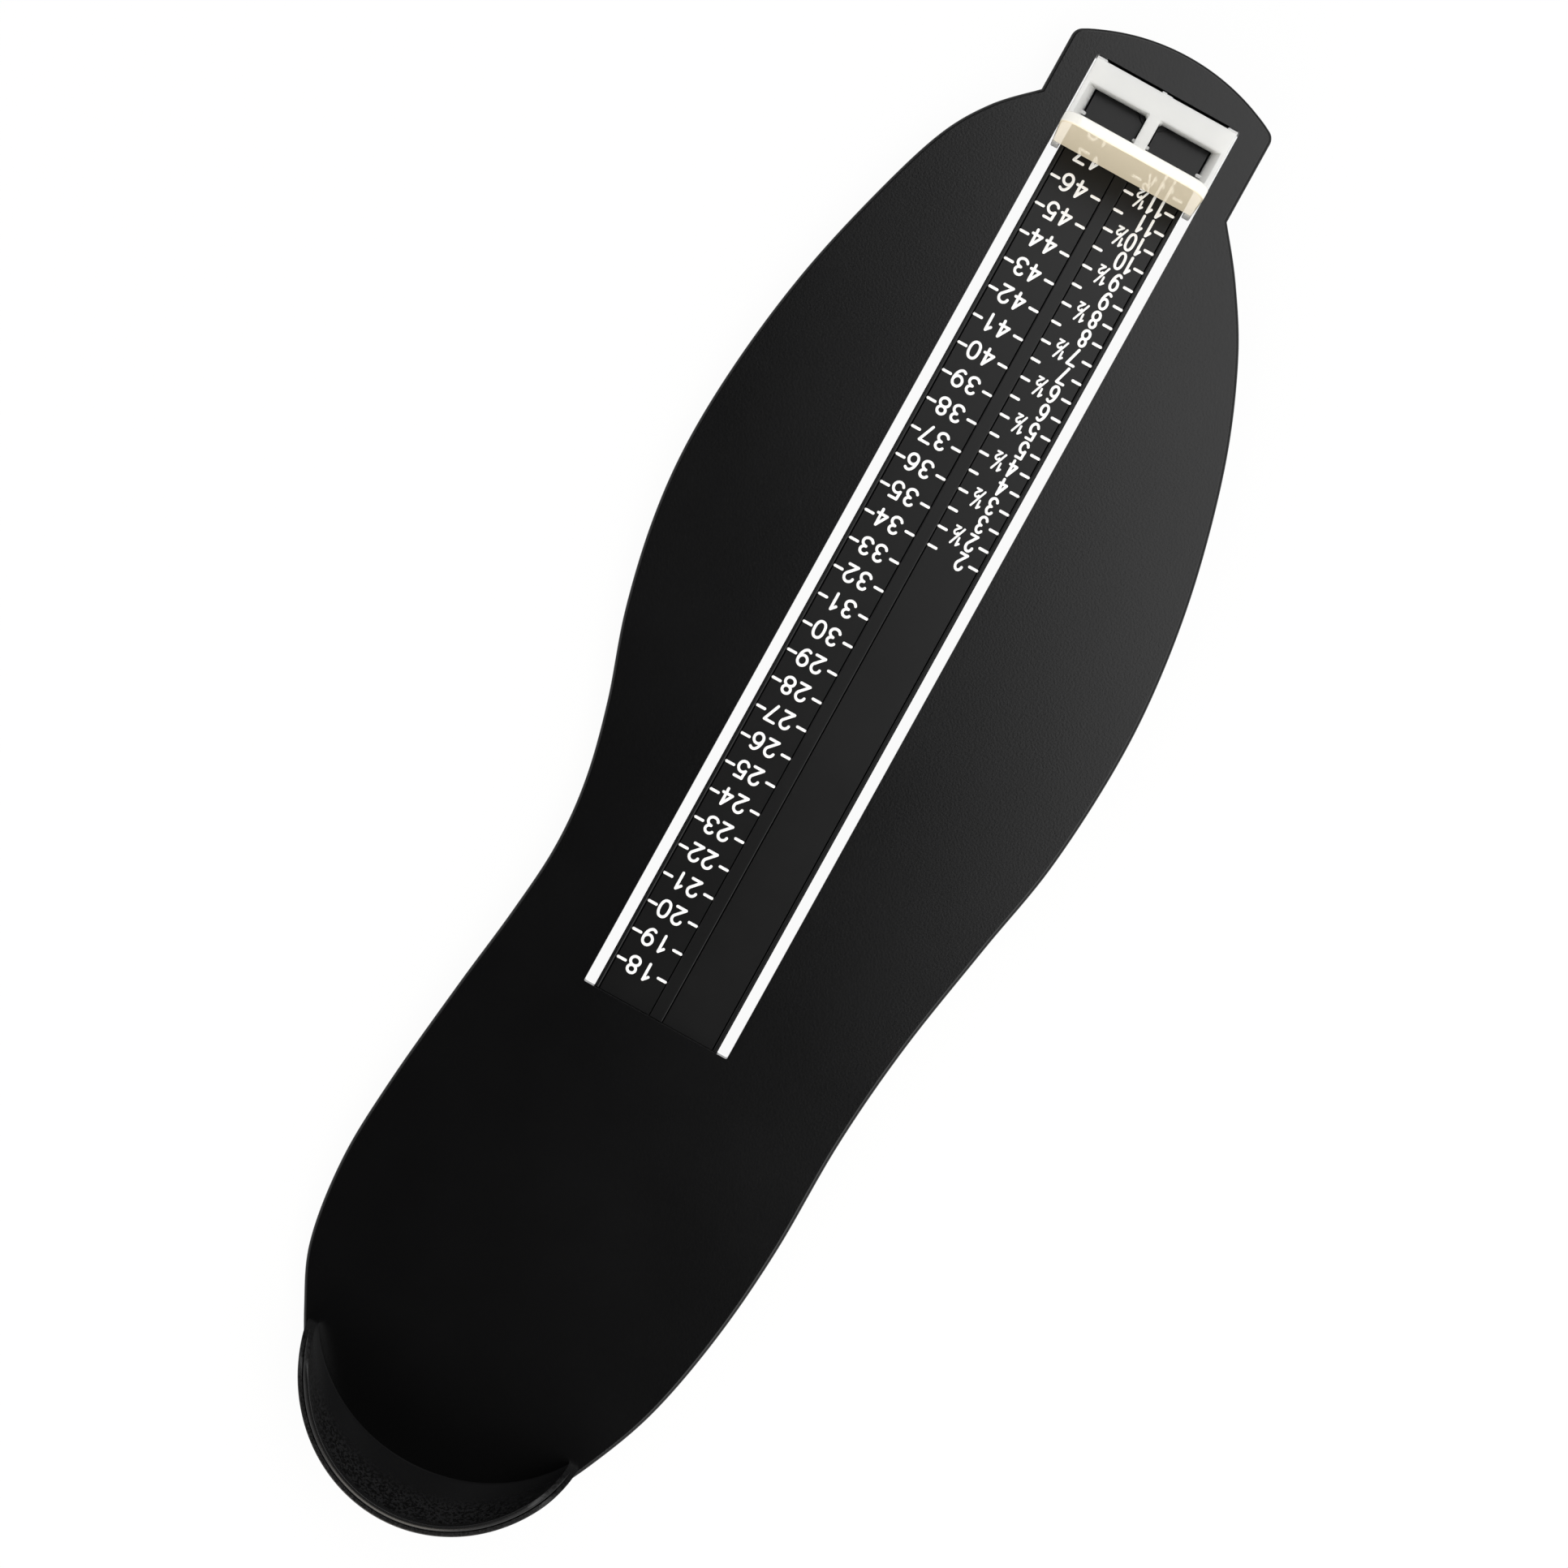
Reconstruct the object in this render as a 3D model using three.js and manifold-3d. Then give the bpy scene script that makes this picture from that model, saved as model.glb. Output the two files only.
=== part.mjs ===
// Foot measuring device: a sole-shaped plate with a heel cup, and a toe stop that slides along a scale.
// Millimetres, +Z up. The toe points along +Y, and the part stands on Z = 0.
// Lengths along the foot are counted from the scale's zero at the heel, widths from the slots' centre line.

import * as THREE from 'three';
import { mergeVertices } from 'three/addons/utils/BufferGeometryUtils.js';
import Module from 'manifold-3d';

const wasm = await Module();
wasm.setup();

// Sole plate
const ballWidth = 111;
const plateTop = 8;
const plateThickness = 2.2;
const skirtWall = 2;
const plateEdgeRadius = 0.8;
const edgeSteps = 3;
const outlineSteps = 5;

// Tab in front of the toes, reaching past the slots, with its shoulders measured back from its tip
const tabWidth = 47.3;
const tabReach = 8.8;
const tabEndRadius = 47.5;
const tabCornerRadius = 2.6;
const innerShoulderBack = 20.8;
const outerShoulderBack = 26.4;

// Ribs under the plate
const ribWall = 1.6;
const ribPitch = 31;
const ribFirst = 14;
const ribSideGap = 1.4;
const ribRoot = 0.6;

// Channel with its two slots, and the bed under the scale
const slotOuterWidth = 34;
const slotWidth = 2.38;
const slotHeelEnd = 112.2;
const channelDepth = 0.9;
const bedThickness = 2;
const bedOverlap = 3;
const bedRibFoot = 1.2;

// Scale strip
const stripThickness = 1;
const stripEndGap = 0.2;
const lipWidth = 1.3;
const centreRibWidth = 3.1;
const fieldDepth = 0.35;
const stakeRadius = 3.2;
const stakeGroove = 0.7;
const stakeGrooveDepth = 0.45;
const stakeFromEnd = 5.7;

// Scale: one size is two thirds of a centimetre, and the toe stop rests just short of size 47
const sizeStep = 20 / 3;
const restSize = 46.92;

// Heel cup, standing inside the plate's edge by a small ledge
const cupCentreX = -0.6;
const cupCentreY = 31.8;
const cupHalfWidth = 32.55;
const cupHalfLength = 34.75;
const cupLedge = 0.6;
const cupHeight = 14;
const rimWall = 2.5;
const rimLedge = 1.3;
const rimLedgeDrop = 1;
const cupFootSide = 2.85;
const cupFootBack = 9.65;
const creaseCentreBack = 1.5;
const creaseCentreLeft = 0.5;
const coveShape = 1.6;
const coveSteps = 7;
const cupTipBack = 8.9;
const cupNoseLength = 9;
const heelArcStart = 3.75;
const heelArcEnd = 5.67;
const ellipseSteps = 72;
const stakeSteps = 24;
const noseSteps = 8;

// Slider frame
const slideGap = 0.2;
const frameSideGap = 0.4;
const frameThickness = 3.2;
const crossbarDepth = 3.8;
const rearBarDepth = 5.3;
const windowDepth = 7.5;
const webWidth = 2.7;
const armFoot = 2.8;
const armTop = 1;
const windowFillet = 0.8;
const webGusset = 0.9;

// Legs and hooks that hold the slider in the slots
const legInnerGap = 0.25;
const legRearReach = 0.5;
const restGap = 0.7;
const legTopDrop = 0.2;
const legFoot = 2.4;
const legEndRadius = 0.3;
const hookReach = 1.35;
const hookLip = 0.7;
const hookGap = 0.3;
const hookLength = 14;

// Toe stop
const stopThickness = 2.4;
const stopHeight = 21;
const stopCornerRadius = 4;
const stopEdge = 0.4;
const tenonWidth = 4;
const tenonHeight = 1.4;
const tenonLength = 2.4;
const tenonX = 7;
const tenonGap = 0.1;
const roundSteps = 6;
const filletSteps = 3;

// Levels and widths that follow from the sizes above
const plateUnder = plateTop - plateThickness;
const stripTop = plateTop - channelDepth;
const bedTop = stripTop - stripThickness;
const bedUnder = bedTop - bedThickness;
const channelHalf = slotOuterWidth / 2;
const stripHalf = channelHalf - slotWidth;
const stopFace = restSize * sizeStep;
const stopBack = stopFace + stopThickness;
const frameUnder = stripTop + slideGap;
const frameTop = frameUnder + frameThickness;
const frameHalf = channelHalf - frameSideGap;
const windowFront = stopBack + crossbarDepth;
const windowRear = windowFront + windowDepth;
const frameRear = windowRear + rearBarDepth;
const slotToeEnd = frameRear + legRearReach + restGap;
const tabTip = slotToeEnd + tabReach;
const rimTop = plateTop + cupHeight;
const creaseHalfWidth = cupHalfWidth - cupFootSide;
const creaseHalfLength = cupHalfLength - creaseCentreBack - cupFootBack;
const creaseCentreX = cupCentreX - creaseCentreLeft;
const creaseCentreY = cupCentreY - creaseCentreBack;
const past = 2;
const leastEdge = 0.01;

// Edge of the sole in front of the ball of the foot, inner side then outer side. Each point is a width
// from the centre line and a length from the heel, as shares of the ball's width and of the length to
// the tab's tip.
const innerForepart = [
  [0.283, 0.916], [0.34, 0.885], [0.391, 0.834], [0.437, 0.772], [0.465, 0.708], [0.474, 0.647],
  [0.46, 0.594], [0.423, 0.538],
];
const outerForepart = [
  [0.513, 0.527], [0.528, 0.6], [0.519, 0.661], [0.487, 0.726], [0.429, 0.796], [0.357, 0.853],
  [0.283, 0.893],
];

// The same edge behind the ball, where each width is counted outwards from the widest part of the heel
const innerWaist = [
  [0.065, 0.484], [0.03, 0.436], [0.019, 0.392], [0.03, 0.345], [0.053, 0.287], [0.077, 0.216],
  [0.084, 0.161], [0.062, 0.108], [0.01, 0.07],
];
const outerWaist = [
  [0.005, 0.07], [0.061, 0.117], [0.098, 0.176], [0.117, 0.24], [0.122, 0.316], [0.143, 0.386],
  [0.183, 0.462],
];

// The solid inside a closed geometry
function solidOf(geometry) {
  const bare = geometry.index ? geometry.toNonIndexed() : geometry.clone();
  bare.deleteAttribute('normal');
  bare.deleteAttribute('uv');
  const merged = mergeVertices(bare, 1e-5);
  const mesh = new wasm.Mesh({
    numProp: 3,
    vertProperties: new Float32Array(merged.attributes.position.array),
    triVerts: new Uint32Array(merged.index.array),
  });
  return new wasm.Manifold(mesh);
}

// The geometry on the skin of a solid
function geometryOf(solid) {
  const mesh = solid.getMesh();
  const geometry = new THREE.BufferGeometry();
  geometry.setAttribute('position', new THREE.BufferAttribute(new Float32Array(mesh.vertProperties), 3));
  geometry.setIndex(new THREE.BufferAttribute(new Uint32Array(mesh.triVerts), 1));
  geometry.computeVertexNormals();
  return geometry;
}

// A rectangular block between two corners
function block(x0, x1, y0, y1, z0, z1) {
  const geometry = new THREE.BoxGeometry(x1 - x0, y1 - y0, z1 - z0);
  geometry.translate((x0 + x1) / 2, (y0 + y1) / 2, (z0 + z1) / 2);
  return solidOf(geometry);
}

// A solid through rings of equally many points, each ring anticlockwise and above the last
function loft(rings) {
  const count = rings[0].points.length;
  const positions = [];
  for (const ring of rings) {
    for (const point of ring.points) positions.push(point.x, point.y, ring.z);
  }
  const faces = [];
  for (let r = 0; r < rings.length - 1; r += 1) {
    for (let i = 0; i < count; i += 1) {
      const a = r * count + i;
      const b = r * count + ((i + 1) % count);
      faces.push(a, b, b + count, a, b + count, a + count);
    }
  }
  const last = (rings.length - 1) * count;
  for (const [a, b, c] of THREE.ShapeUtils.triangulateShape(rings[0].points, [])) faces.push(a, c, b);
  for (const [a, b, c] of THREE.ShapeUtils.triangulateShape(rings.at(-1).points, [])) {
    faces.push(last + a, last + b, last + c);
  }
  const geometry = new THREE.BufferGeometry();
  geometry.setAttribute('position', new THREE.Float32BufferAttribute(positions, 3));
  geometry.setIndex(faces);
  return solidOf(geometry);
}

// A straight-sided solid over one outline
function prism(points, z0, z1) {
  return loft([{ points, z: z0 }, { points, z: z1 }]);
}

// The points along a closed path, each one once
function loopOf(path, steps) {
  const points = path.getPoints(steps);
  return points.filter((point, i) => point.distanceTo(points[(i + 1) % points.length]) > leastEdge);
}

// The outline moved inwards by a distance, square to its edges
function inset(points, distance) {
  return points.map((point, i) => {
    const before = points[(i + points.length - 1) % points.length];
    const after = points[(i + 1) % points.length];
    const inA = new THREE.Vector2(before.y - point.y, point.x - before.x).normalize();
    const inB = new THREE.Vector2(point.y - after.y, after.x - point.x).normalize();
    const mitre = inA.clone().add(inB).divideScalar(1 + inA.dot(inB));
    return point.clone().addScaledVector(mitre, distance);
  });
}

// The outline of the sole: the tab's rounded end, then the sole's edge round the heel
function soleOutline() {
  const half = tabWidth / 2;
  const endCentreY = tabTip - tabEndRadius;
  const cornerX = half - tabCornerRadius;
  const cornerReach = tabEndRadius - tabCornerRadius;
  const cornerY = endCentreY + Math.sqrt(cornerReach ** 2 - cornerX ** 2);
  const turn = Math.atan2(cornerY - endCentreY, cornerX);
  const heelHalfWidth = cupHalfWidth + cupLedge;
  const heelHalfLength = cupHalfLength + cupLedge;
  const heelStart = new THREE.Vector2(
    cupCentreX + heelHalfWidth * Math.cos(heelArcStart),
    cupCentreY + heelHalfLength * Math.sin(heelArcStart),
  );
  const forepart = (side) => ([width, length]) => {
    return new THREE.Vector2(side * width * ballWidth, length * tabTip);
  };
  const waist = (side) => ([width, length]) => {
    return new THREE.Vector2(cupCentreX + side * (heelHalfWidth + width * ballWidth), length * tabTip);
  };
  const shoulder = new THREE.Vector2(half, tabTip - outerShoulderBack);
  const path = new THREE.Path();
  path.moveTo(shoulder.x, shoulder.y);
  path.lineTo(half, cornerY);
  path.absarc(cornerX, cornerY, tabCornerRadius, 0, turn, false);
  path.absarc(0, endCentreY, tabEndRadius, turn, Math.PI - turn, false);
  path.absarc(-cornerX, cornerY, tabCornerRadius, Math.PI - turn, Math.PI, false);
  path.lineTo(-half, tabTip - innerShoulderBack);
  path.splineThru([...innerForepart.map(forepart(-1)), ...innerWaist.map(waist(-1)), heelStart]);
  path.absellipse(
    cupCentreX, cupCentreY, heelHalfWidth, heelHalfLength, heelArcStart, heelArcEnd, false,
  );
  path.splineThru([...outerWaist.map(waist(1)), ...outerForepart.map(forepart(1)), shoulder]);
  return loopOf(path, outlineSteps);
}

const outline = soleOutline();

// The plate and its skirt as one shell, open underneath, with a rounded top edge
function shellSolid() {
  const rings = [{ points: outline, z: 0 }];
  for (let k = 0; k <= edgeSteps; k += 1) {
    const angle = (k / edgeSteps) * (Math.PI / 2);
    const distance = plateEdgeRadius * (1 - Math.cos(angle));
    const z = plateTop - plateEdgeRadius * (1 - Math.sin(angle));
    rings.push({ points: inset(outline, distance), z });
  }
  const hollow = prism(inset(outline, skirtWall), -past, plateUnder);
  return loft(rings).subtract(hollow);
}

// Stiffening ribs, standing on the table with the skirt and clear of the slider's path
function ribSolid() {
  const pathHalf = channelHalf + ribSideGap;
  const heelStop = slotHeelEnd - bedOverlap;
  const toeStop = slotToeEnd + bedOverlap;
  const reach = inset(outline, skirtWall - ribRoot);
  const wide = Math.max(...outline.map((point) => Math.abs(point.x)));
  const low = Math.min(...outline.map((point) => point.y));
  const top = plateUnder + ribRoot;
  let ribs = block(-ribWall / 2, ribWall / 2, low, heelStop, 0, top);
  for (const side of [-1, 1]) {
    const x0 = Math.min(side * pathHalf, side * (pathHalf + ribWall));
    ribs = ribs.add(block(x0, x0 + ribWall, heelStop - ribWall, toeStop, 0, top));
  }
  for (let y = ribFirst; y + ribWall < tabTip; y += ribPitch) {
    const beside = y + ribWall > heelStop - ribWall && y < toeStop;
    if (beside) {
      ribs = ribs.add(block(-wide, -pathHalf, y, y + ribWall, 0, top));
      ribs = ribs.add(block(pathHalf, wide, y, y + ribWall, 0, top));
    } else {
      ribs = ribs.add(block(-wide, wide, y, y + ribWall, 0, top));
    }
  }
  ribs = ribs.add(block(-wide, wide, heelStop - ribWall, heelStop, 0, top));
  ribs = ribs.add(block(-wide, wide, toeStop, toeStop + ribWall, 0, top));
  return ribs.intersect(prism(reach, 0, top));
}

// The bed that carries the scale between the slots, with a rib along its middle
function bedSolid() {
  const start = slotHeelEnd - bedOverlap;
  const end = slotToeEnd + bedOverlap;
  const bed = block(-channelHalf, channelHalf, start, end, bedUnder, plateUnder + ribRoot);
  const ribHalf = ribWall / 2;
  const rib = block(-ribHalf, ribHalf, start - ribHalf, end + ribHalf, bedRibFoot, bedUnder + ribRoot);
  return bed.add(rib);
}

function solePlate() {
  let solid = shellSolid().add(ribSolid()).add(bedSolid());
  const high = plateTop + past;
  solid = solid.subtract(block(-channelHalf, channelHalf, slotHeelEnd, slotToeEnd, bedTop, high));
  for (const x0 of [-channelHalf, stripHalf]) {
    solid = solid.subtract(block(x0, x0 + slotWidth, slotHeelEnd, slotToeEnd, -past, high));
  }
  return geometryOf(solid);
}

// The strip between the slots: two sunk fields for the figures, between side lips and a middle rib
function scaleStrip() {
  const start = slotHeelEnd + stripEndGap;
  const end = slotToeEnd - stripEndGap;
  const fieldFloor = stripTop - fieldDepth;
  const fieldOuter = stripHalf - lipWidth;
  const fieldInner = centreRibWidth / 2;
  let solid = block(-stripHalf, stripHalf, start, end, bedTop, stripTop);
  const fieldWidth = fieldOuter - fieldInner;
  for (const x0 of [-fieldOuter, fieldInner]) {
    const x1 = x0 + fieldWidth;
    solid = solid.subtract(block(x0, x1, start - past, end + past, fieldFloor, stripTop + past));
  }
  return geometryOf(solid.subtract(stakeRing()));
}

// The round groove of the stake that fixes the strip's toe end
function stakeRing() {
  const floor = stripTop - fieldDepth - stakeGrooveDepth;
  const inner = stakeRadius - stakeGroove;
  const profile = [
    new THREE.Vector2(inner, floor),
    new THREE.Vector2(stakeRadius, floor),
    new THREE.Vector2(stakeRadius, stripTop + past),
    new THREE.Vector2(inner, stripTop + past),
    new THREE.Vector2(inner, floor),
  ];
  const ring = new THREE.LatheGeometry(profile, stakeSteps);
  ring.rotateX(Math.PI / 2);
  ring.translate(0, slotToeEnd - stakeFromEnd, 0);
  return solidOf(ring);
}

function ellipse(halfWidth, halfLength, centreX, centreY) {
  const curve = new THREE.EllipseCurve(centreX, centreY, halfWidth, halfLength, 0, Math.PI * 2);
  return curve.getPoints(ellipseSteps).slice(0, -1);
}

// The hollow for the heel, narrow at the floor and widening to the rim on a curved wall
function heelHollow() {
  const rimHalfWidth = cupHalfWidth - rimWall;
  const rimHalfLength = cupHalfLength - rimWall;
  const crease = ellipse(creaseHalfWidth, creaseHalfLength, creaseCentreX, creaseCentreY);
  const rings = [{ points: crease, z: plateTop - past }];
  for (let k = 0; k <= coveSteps; k += 1) {
    const rise = k / coveSteps;
    const spread = 1 - (1 - rise) ** coveShape;
    const halfWidth = THREE.MathUtils.lerp(creaseHalfWidth, rimHalfWidth, spread);
    const halfLength = THREE.MathUtils.lerp(creaseHalfLength, rimHalfLength, spread);
    const centreX = THREE.MathUtils.lerp(creaseCentreX, cupCentreX, spread);
    const centreY = THREE.MathUtils.lerp(creaseCentreY, cupCentreY, spread);
    const points = ellipse(halfWidth, halfLength, centreX, centreY);
    rings.push({ points, z: plateTop + rise * cupHeight });
  }
  rings.push({ points: rings.at(-1).points, z: rimTop + past });
  return loft(rings);
}

// Side view of the cup: its two ends rise in a quarter of an ellipse
function cupSideView() {
  const low = cupCentreY - cupHalfLength - past;
  const tip = cupCentreY - cupTipBack;
  const foot = plateTop - past;
  const shape = [new THREE.Vector2(low, foot), new THREE.Vector2(tip, foot)];
  for (let k = 0; k <= noseSteps; k += 1) {
    const angle = (k / noseSteps) * (Math.PI / 2);
    const y = tip - cupNoseLength * (1 - Math.cos(angle));
    shape.push(new THREE.Vector2(y, plateTop + cupHeight * Math.sin(angle)));
  }
  shape.push(new THREE.Vector2(low, rimTop));
  const wide = cupHalfWidth + Math.abs(cupCentreX) + past;
  const sideView = new THREE.Shape(shape);
  const geometry = new THREE.ExtrudeGeometry(sideView, { depth: 2 * wide, bevelEnabled: false });
  geometry.rotateX(Math.PI / 2);
  geometry.rotateZ(Math.PI / 2);
  geometry.translate(-wide, 0, 0);
  return solidOf(geometry);
}

function heelCup() {
  const outside = ellipse(cupHalfWidth, cupHalfLength, cupCentreX, cupCentreY);
  const rim = ellipse(cupHalfWidth - rimLedge, cupHalfLength - rimLedge, cupCentreX, cupCentreY);
  const wall = prism(outside, plateTop, rimTop - rimLedgeDrop);
  const solid = wall.add(prism(rim, plateTop, rimTop)).subtract(heelHollow()).intersect(cupSideView());
  return geometryOf(solid);
}

// One window of the slider: upright at the web, sloping back at the arm, with eased corners
function windowHole(side) {
  const webSide = webWidth / 2;
  const radius = windowFillet;
  const quarter = Math.PI / 2;
  const plan = (armSide) => {
    const path = new THREE.Path();
    path.moveTo(webSide + radius, windowFront);
    path.lineTo(armSide - radius, windowFront);
    path.absarc(armSide - radius, windowFront + radius, radius, -quarter, 0, false);
    path.lineTo(armSide, windowRear);
    path.lineTo(webSide + webGusset, windowRear);
    path.lineTo(webSide, windowRear - webGusset);
    path.lineTo(webSide, windowFront + radius);
    path.absarc(webSide + radius, windowFront + radius, radius, 2 * quarter, 3 * quarter, false);
    return loopOf(path, filletSteps);
  };
  const low = plan(frameHalf - armFoot);
  const high = plan(frameHalf - armTop);
  const hole = loft([
    { points: low, z: frameUnder - past },
    { points: low, z: frameUnder },
    { points: high, z: frameTop },
    { points: high, z: frameTop + past },
  ]);
  return side > 0 ? hole : hole.mirror([1, 0, 0]);
}

// One leg in its slot, with rounded ends and a hook that reaches under the bed
function legSolid(side) {
  const inner = stripHalf + legInnerGap;
  const front = stopFace;
  const rear = frameRear + legRearReach;
  const radius = legEndRadius;
  const quarter = Math.PI / 2;
  const path = new THREE.Path();
  path.moveTo(inner + radius, front);
  path.absarc(frameHalf - radius, front + radius, radius, -quarter, 0, false);
  path.absarc(frameHalf - radius, rear - radius, radius, 0, quarter, false);
  path.absarc(inner + radius, rear - radius, radius, quarter, 2 * quarter, false);
  path.absarc(inner + radius, front + radius, radius, 2 * quarter, 3 * quarter, false);
  const plan = loopOf(path, filletSteps);
  const hookTop = bedUnder - hookGap;
  const hookEnd = inner - hookReach;
  const hook = new THREE.Shape([
    new THREE.Vector2(inner + radius, hookTop),
    new THREE.Vector2(hookEnd, hookTop),
    new THREE.Vector2(hookEnd, hookTop - hookLip),
    new THREE.Vector2(inner, legFoot),
    new THREE.Vector2(inner + radius, legFoot),
  ]);
  const barb = new THREE.ExtrudeGeometry(hook, { depth: hookLength, bevelEnabled: false });
  barb.rotateX(Math.PI / 2);
  barb.translate(0, (front + rear + hookLength) / 2, 0);
  const legTop = stripTop - legTopDrop;
  const neck = block(inner, frameHalf, stopBack, frameRear, legTop - radius, frameUnder + radius);
  const leg = prism(plan, legFoot, legTop).add(neck).add(solidOf(barb));
  return side > 0 ? leg : leg.mirror([1, 0, 0]);
}

function sliderFrame() {
  let solid = block(-frameHalf, frameHalf, stopBack, frameRear, frameUnder, frameTop);
  for (const side of [-1, 1]) {
    solid = solid.subtract(windowHole(side)).add(legSolid(side));
    solid = solid.subtract(tenon(side, tenonGap));
  }
  return geometryOf(solid);
}

// One tenon of the toe stop, or its socket in the slider when grown by a gap
function tenon(side, gap) {
  const middle = (frameUnder + frameTop) / 2;
  const halfWidth = tenonWidth / 2 + gap;
  const halfHeight = tenonHeight / 2 + gap;
  const x = side * tenonX;
  const front = stopBack - stopEdge;
  const rear = stopBack + tenonLength + gap;
  return block(x - halfWidth, x + halfWidth, front, rear, middle - halfHeight, middle + halfHeight);
}

function toeStop() {
  const top = stripTop + stopHeight;
  const half = frameHalf - stopEdge;
  const radius = stopCornerRadius - stopEdge;
  const low = frameUnder + stopEdge;
  const high = top - stopEdge;
  const shape = new THREE.Shape();
  shape.moveTo(-half, low);
  shape.lineTo(half, low);
  shape.absarc(half - radius, high - radius, radius, 0, Math.PI / 2, false);
  shape.absarc(-half + radius, high - radius, radius, Math.PI / 2, Math.PI, false);
  const plate = new THREE.ExtrudeGeometry(shape, {
    depth: stopThickness - 2 * stopEdge,
    bevelThickness: stopEdge,
    bevelSize: stopEdge,
    bevelSegments: edgeSteps,
    curveSegments: roundSteps,
  });
  plate.rotateX(Math.PI / 2);
  plate.translate(0, stopBack - stopEdge, 0);
  return geometryOf(solidOf(plate).add(tenon(-1, 0)).add(tenon(1, 0)));
}

const blackPlastic = new THREE.MeshStandardMaterial({ color: 0x1d1d1e, roughness: 0.62, metalness: 0 });
const stripPlastic = new THREE.MeshStandardMaterial({ color: 0x18181a, roughness: 0.4, metalness: 0 });
const whitePlastic = new THREE.MeshStandardMaterial({ color: 0xe7e8e2, roughness: 0.45, metalness: 0 });
const ivoryPlastic = new THREE.MeshStandardMaterial({ color: 0xefe9d6, roughness: 0.15, metalness: 0 });

function piece(name, geometry, material) {
  const mesh = new THREE.Mesh(geometry, material);
  mesh.name = name;
  return mesh;
}

const slider = new THREE.Group();
slider.add(piece('slider_frame', sliderFrame(), whitePlastic));
slider.add(piece('toe_stop', toeStop(), ivoryPlastic));

const base = new THREE.Group();
base.add(piece('sole_plate', solePlate(), blackPlastic));
base.add(piece('heel_cup', heelCup(), blackPlastic));
base.add(piece('scale_strip', scaleStrip(), stripPlastic));

// The part's origin lies under the middle of the sole's length and width
const extent = new THREE.Box2().setFromPoints(outline);
const middle = extent.getCenter(new THREE.Vector2());
const device = new THREE.Group();
device.position.set(-middle.x, -middle.y, 0);
device.add(base, slider);

export default device;
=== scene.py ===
# Foot measuring device: a black sole plate with a heel cup, a printed scale, and a white slider
# with an ivory toe stop.
import math
import bpy
import bmesh
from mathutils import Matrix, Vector


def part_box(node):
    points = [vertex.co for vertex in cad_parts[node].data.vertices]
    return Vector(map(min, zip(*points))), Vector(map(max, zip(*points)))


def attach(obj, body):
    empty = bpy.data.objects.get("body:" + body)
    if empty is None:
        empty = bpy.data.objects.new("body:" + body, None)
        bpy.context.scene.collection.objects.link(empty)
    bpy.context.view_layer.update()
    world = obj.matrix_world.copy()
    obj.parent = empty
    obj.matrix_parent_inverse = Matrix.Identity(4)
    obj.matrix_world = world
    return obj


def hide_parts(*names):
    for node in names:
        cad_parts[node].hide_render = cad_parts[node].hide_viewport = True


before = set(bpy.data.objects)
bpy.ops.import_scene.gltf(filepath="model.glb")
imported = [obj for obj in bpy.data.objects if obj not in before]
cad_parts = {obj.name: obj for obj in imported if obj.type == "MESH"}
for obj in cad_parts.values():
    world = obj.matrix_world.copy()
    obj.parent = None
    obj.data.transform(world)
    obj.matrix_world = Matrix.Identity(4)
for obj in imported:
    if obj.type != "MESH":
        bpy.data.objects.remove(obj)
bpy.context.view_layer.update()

mm = 0.001
sameSpot = 1e-7      # points nearer than this, in metres, are one
sameHeight = 0.01    # points nearer than this in height, in millimetres, are level
levelFace = 0.99999  # a face whose normal rises this far is level
sharpAngle = 40      # edges that turn more than this, in degrees, look sharp
past = 2             # cutters reach this far past what they cut, in millimetres


# Places read from the frame, in millimetres

def nodeBox(name):
    low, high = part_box(name)
    return low / mm, high / mm


plateLow, plateHigh = nodeBox("sole_plate")
cupLow, cupHigh = nodeBox("heel_cup")
stripLow, stripHigh = nodeBox("scale_strip")
sliderLow, sliderHigh = nodeBox("slider_frame")
stopLow, stopHigh = nodeBox("toe_stop")

sizeStep = 20 / 3   # one continental size
restSize = 46.92    # the size at the stop's face when it is at rest
axisX = (stripLow.x + stripHigh.x) / 2
zeroY = stopLow.y - restSize * sizeStep
plateTop = plateHigh.z
print("frame read, scale zero at", round(zeroY, 3), "mm")


# Mesh making. Lengths are in millimetres until a mesh is made.

def makeMesh(name, points, faces, smoothUnder=sharpAngle):
    mesh = bpy.data.meshes.new(name)
    mesh.from_pydata([Vector(p) * mm for p in points], [], faces)
    work = bmesh.new()
    work.from_mesh(mesh)
    bmesh.ops.remove_doubles(work, verts=work.verts, dist=sameSpot)
    bmesh.ops.recalc_face_normals(work, faces=work.faces)
    bmesh.ops.triangulate(work, faces=[face for face in work.faces if len(face.verts) > 4])
    work.to_mesh(mesh)
    work.free()
    piece = bpy.data.objects.new(name, mesh)
    bpy.context.scene.collection.objects.link(piece)
    smoothShade(piece, smoothUnder)
    return piece


def smoothShade(piece, degrees):
    piece.data.shade_smooth()
    piece.data.set_sharp_from_angle(angle=math.radians(degrees))


# A closed solid through rings of equally many points
def ringSolid(name, rings):
    count = len(rings[0])
    points = [point for ring in rings for point in ring]
    faces = [list(reversed(range(count))), [len(points) - count + i for i in range(count)]]
    for r in range(len(rings) - 1):
        for i in range(count):
            j = (i + 1) % count
            faces.append([r * count + i, r * count + j, (r + 1) * count + j, (r + 1) * count + i])
    return makeMesh(name, points, faces)


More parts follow.
